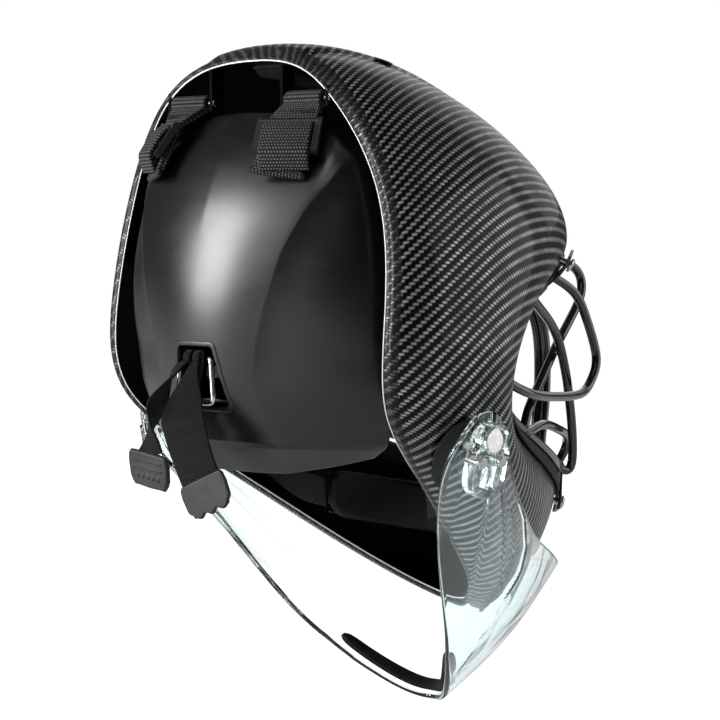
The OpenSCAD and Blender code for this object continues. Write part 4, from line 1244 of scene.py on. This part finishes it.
def make_pocket():
    def ring(grow, r, y):
        return [(x, y, z) for x, z in rounded_outline(POCKET + np.sign(POCKET) * grow, r)]

    rows = [ring(1.2, 3.2, 75.0), ring(1.2, 3.2, 84.8), ring(1.0, 3.1, 85.6), ring(0.5, 2.7, 86.0),
            ring(-0.6, 1.8, 86.0), ring(-1.05, 1.5, 85.6), ring(-1.2, 1.4, 84.8),
            ring(-1.2, 1.4, 78.2), ring(-1.8, 1.2, 77.3), ring(-3.0, 1.0, 77.0)]
    wall = lattice_mesh("wall", rows, False, True)
    v, u = np.meshgrid(np.linspace(3.2, 5.6, 97), np.linspace(2.5, 7.5, 161), indexing="ij")
    skin = PLATE.point(u, v).reshape(-1, 3)

    def lip(grow, r, over, y=None):
        out = []
        for x, z in spaced(rounded_outline(POCKET + np.sign(POCKET) * grow, r)):
            gap = np.hypot(skin[:, 0] - x, skin[:, 2] - z)
            out.append((x, skin[np.argmin(gap), 1] + over if y is None else y, z))
        return out

    rows = [lip(-0.15, 2.2, 0, 86.0), lip(-0.15, 2.2, 0.1), lip(0.1, 2.4, 0.35), lip(0.5, 2.6, 0.4),
            lip(1.6, 3.2, 0.4), lip(2.1, 3.5, 0.25), lip(2.3, 3.6, 0.0), lip(2.3, 3.6, -0.7),
            lip(0.9, 2.8, -0.7), lip(0.9, 2.8, 0, 86.0)]
    lining = joined("pocket", [wall, lattice_mesh("lip", rows, True, True)])
    pocket = made_object("strap_pocket_shell", lining, "back_plate", ["plastic"])
    pocket.data.set_sharp_from_angle(angle=math.radians(50))
    finished_copy("strap_pocket", "strap_pocket_lugs", "back_plate", "bracket", 0.35)
    finished_copy("pocket_rivets", "pocket_rivet_heads", "back_plate", "clip", 0.3)


def make_ring():
    corners = [(-ring_top, 0), (ring_top, 0), (ring_bottom, -ring_h), (-ring_bottom, -ring_h)]
    grown = []
    for k in range(4):
        a, b = np.array(corners[k], float), np.array(corners[(k + 1) % 4], float)
        grown += [a + (b - a) * t for t in np.linspace(0.16, 0.84, 10)]
        c = np.array(corners[(k + 2) % 4], float)
        grown += [(b + (a - b) * 0.16) * (1 - t) ** 2 + b * 2 * t * (1 - t) + (b + (c - b) * 0.16) * t * t
                  for t in np.linspace(0.14, 0.86, 6)]
    path = [(x, bar_y, bar_z + z) for x, z in grown]
    made_object("wire_ring", tube_mesh("wire_ring", path, ring_r, 20, looped=True), "ring",
                ["steel"], ["strap_ring"])


def wrap_mesh(name, centre, r, half_t, half_w):
    """Band of webbing wound round a bar along X."""
    outline = rounded_box(half_w, half_t, half_t * 0.9)
    rings, flat = [], []
    for a in np.radians(360 * np.arange(48) / 48):
        out = np.array((0, math.cos(a), math.sin(a)))
        rings.append([np.array(centre) + out * (r + q[1]) + np.array((q[0], 0, 0)) for q in outline])
        row = [(q[0], a * r) for q in outline]
        flat.append(row + row[:1])
    flat.append([(x, y + 2 * math.pi * r) for x, y in flat[0]])
    return lattice_mesh(name, rings, True, True, flat)


# The webbing that covers the ladder lock: its centre, its three directions, and its path as up, out
LOCK_AT, LOCK_OUT = np.array((42.6, 68.6, 113.0)), unit((0.42, 0.75, 0.51))
LOCK_UP, LOCK_SIDE = np.array((-0.271, -0.489, 0.829)), np.array((0.8746, -0.4848, 0))
LOCK_COVER = ((-0.6, 5.2), (-4, 6.4), (-8, 6.6), (-14, 6.4), (-18, 5.4), (-23.6, -1))


def make_top_straps():
    half = [unit(s) * WEBBING for s in TOP_STRAP_SIDE]
    p = np.asarray(TOP_STRAP, float)
    t = tangents(p)
    n = unit(np.cross(t, np.asarray(half)))
    n = n * np.sign(n[:, 1:2])
    finished_copy("hinge_bars", "hinge_rods", "helmet", "steel", 0.3)
    finished_copy("hinge_brackets", "hinge_mounts", "helmet", "bracket", 0.5)
    loops = [wrap_mesh("wrap", (s * hinge_x, hinge_y, hinge_z), 3.15, 1.0, 12.4) for s in (-1, 1)]
    made_object("hinge_webbing", joined("hinge_webbing", loops), "back_plate", ["webbing"],
                ["top_strap_loops"])
    for word, s in (("left", 1), ("right", -1)):
        flip = (s, 1, 1)
        main = strap_mesh("main", p * flip, np.array(half) * flip, 1.0, 14)
        upper = strap_mesh("upper", (p + n * 2.1)[:3] * flip, np.array(half)[:3] * flip, 0.95, 14)
        fold = (p + n * 1.9)[2:].copy()
        fold[0] += (p[3] - p[2]) * 0.28
        lower = strap_mesh("lower", fold * flip, np.array(half)[2:] * (0.985 * s, 0.985, 0.985), 0.95, 14)
        over = np.array([LOCK_AT + LOCK_UP * z + LOCK_OUT * y for z, y in LOCK_COVER])
        cover = strap_mesh("cover", over * flip, np.array([LOCK_SIDE * WEBBING] * len(over)) * flip, 1.0, 10)
        curl = p[-1] + n[-1] * 0.95
        roll_axis = unit(half[-1])
        hem = tube_mesh("hem", [(curl - roll_axis * 12.2) * flip, (curl - roll_axis * 4) * flip,
                                (curl + roll_axis * 4) * flip, (curl + roll_axis * 12.2) * flip],
                        1.9, 16, round_ends=True)
        made_object(f"top_webbing_{word}", joined("webbing", [main, upper, lower, cover, hem]), "back_plate",
                    ["webbing"], [f"top_strap_{word}"])
        rows = []
        for k in (0.12, 0.3):
            centre = p[1] + (p[2] - p[1]) * k + n[1] * 3.15
            rows.append(stitches("row", (centre - half[1] * 0.86) * flip, (centre + half[1] * 0.86) * flip,
                                 9, n[1] * flip))
        centre = p[3] + (p[4] - p[3]) * 0.72 + n[3] * 2.95
        rows.append(stitches("row", (centre - half[3] * 0.86) * flip, (centre + half[3] * 0.86) * flip,
                             9, n[3] * flip))
        made_object(f"top_webbing_{word}_thread", joined("rows", rows), "back_plate",
                    ["thread"])
        finished_copy(f"ladder_lock_{word}", f"buckle_{word}", "back_plate",
                      "plastic", 0.4)


def tab_mesh(name, path, sides, style):
    """Moulded pull tab: a rounded plate with a raised slot frame, or with a scalloped end."""
    p, s = np.asarray(path, float), np.asarray(sides, float)
    along = unit(p[-1] - p[-2])
    side = unit(s[-1])
    side = unit(side - along * np.dot(side, along))
    face = unit(np.cross(along, side))
    rows, cols = 61, 49
    w, d = np.meshgrid(np.linspace(0, 1, rows), np.linspace(-1, 1, cols), indexing="ij")
    reach = -2 + 16 * w
    half = WEBBING * np.interp(reach, (-2, -1, 3, 10, 13, 14), (1.0, 1.07, 1.11, 1.07, 0.95, 0.86))
    x = half * d
    thin = 1.6 + 0 * x
    if style == "slot":
        # a raised frame round the slot that the elastic goes through, and plain grip dots below it
        for place in (0.6, 4.4):
            thin += 0.9 * smooth((0.95 - np.abs(reach - place)) / 0.6) * smooth((12.0 - np.abs(x)) / 1.0)
        for place in (-8, -4, 0, 4, 8):
            thin += 0.8 * smooth((1.7 - np.hypot(x - place, reach - 9.0)) / 0.8)
    else:
        thin = thin - 0.3
        bottom = smooth((w - 0.8) / 0.2)
        reach = reach + bottom * 0.9 * np.cos(x * 2 * math.pi / 8.2) - 0.5 * w
    base = p[-1] + along * reach[..., None] + side * x[..., None]
    return slab_mesh(name, base + face * thin[..., None], base - face * thin[..., None], 6, 0.8)


def make_tails():
    for word, path, sides, style in (("left", LEFT_TAIL, LEFT_SIDE, "slot"),
                                     ("right", RIGHT_TAIL, RIGHT_SIDE, "scallops")):
        body = f"tail_{word}"
        loop = nodes[f"tail_{word}_loop"]
        middle = sum((loop.matrix_world @ Vector(c)).x for c in loop.bound_box) / 8 / MM
        made_object(f"{body}_wrap", wrap_mesh("wrap", (middle, bar_y, bar_z), 2.75, 0.85, 2.45), body,
                    ["elastic"], [f"{body}_loop"])
        mesh = strap_mesh("band", path, sides, 0.8, 16)
        made_object(f"{body}_band", mesh, body, ["elastic"], [body])
        made_object(f"{body}_pull", tab_mesh("tab", path, sides, style), body, ["tab"],
                    [f"{body}_tab"])
        p, s = np.asarray(path, float), np.asarray(sides, float)
        face = unit(np.cross(p[-1] - p[-2], s[-1]))
        rows = []
        for k in (2.8, 5.6):
            centre = p[-1] - unit(p[-1] - p[-2]) * k
            for sign in (1, -1):
                rows.append(stitches("row", centre - unit(s[-1]) * 10 + face * sign * 0.85,
                                     centre + unit(s[-1]) * 10 + face * sign * 0.85, 8, face * sign))
        made_object(f"{body}_thread", joined("rows", rows), body, ["thread"])


# ---------------------------------------------------------------- throat guard
# The two creases of each arm, as u from the end of the arm and v
FOLD_A = ((0, 1.05), (1.0, 1.0), (1.6, 0.92), (2.4, 0.67), (3.0, 0.4), (3.5, 0.21), (4.0, 0.09))
FOLD_B = ((2.2, 1.9), (2.8, 1.6), (3.14, 1.26), (3.42, 0.8), (3.9, 0.36), (4.4, 0.12))


def guard_fold(u, v):
    """Height of the two creases that stiffen each arm."""
    side = np.minimum(u, GUARD.wide - u)
    lift = np.zeros(np.shape(u))
    for fold, high, wide, fade_out in ((FOLD_A, 3.0, 0.55, 0.9), (FOLD_B, 1.6, 0.3, 0.7)):
        at_u, at_v = np.array(fold).T
        line = np.interp(side, at_u, at_v)
        fade = smooth((at_u[-1] + 0.35 - side) / fade_out)
        if fold is FOLD_B:
            fade = smooth((side - at_u[0] + 0.6) / 0.6) * fade
        lift = lift + high * fade * np.clip(1 - np.abs(v - line) / wide, 0, 1)
    return lift


def make_guard():
    along, across = 57, 281
    v, u = np.meshgrid(np.linspace(0, GUARD_ROWS, along), np.linspace(0, GUARD.wide, across),
                       indexing="ij")
    lift = guard_fold(u, v)
    outer = GUARD.at(u, v, -lift)
    inner = GUARD.at(u, v, guard_wall - lift)
    mesh = slab_mesh("clear_guard", outer, inner, 8, 0.7, 1)
    guard = made_object("clear_guard", mesh, "guard",
                        ["clear", "clear_rim"], ["throat_guard"])
    rows = [[(x, pivot_y + y, pivot_z + z) for y, z in circle(bore_r, 48)] for x in (-150, 150)]
    drilled(guard, [lattice_mesh("drill", rows, False, True)])
    guard.data.set_sharp_from_angle(angle=math.radians(50))
    for word in ("left", "right"):
        finished_copy(f"guard_clip_{word}", f"clear_clip_{word}", "guard",
                      "clear_block", 0.5, 3)
    foam = runner(GUARD.at, GUARD_MID - 1.9, GUARD_MID + 1.9, 0.03, 0.15,
                  guard_wall + 0.5, guard_wall + 4.5, 121)
    made_object("guard_edge_foam", foam, "guard", ["strip_foam"], ["guard_foam"])
    finished_copy("guard_rivets", "guard_rivet_heads", "guard", "steel", 0.25)
    finished_copy("guard_studs", "pivot_studs", "helmet", "steel", 0.4)


add_camera()
add_lights()
add_floor()
make_shell()
make_grommets()
make_port_trim()
make_cage()
make_temple_cushions()
make_clips()
make_pads()
make_chin_cup()
make_chin_straps()
make_jaw_strips()
make_plate()
make_pocket()
make_ring()
make_top_straps()
make_tails()
make_guard()
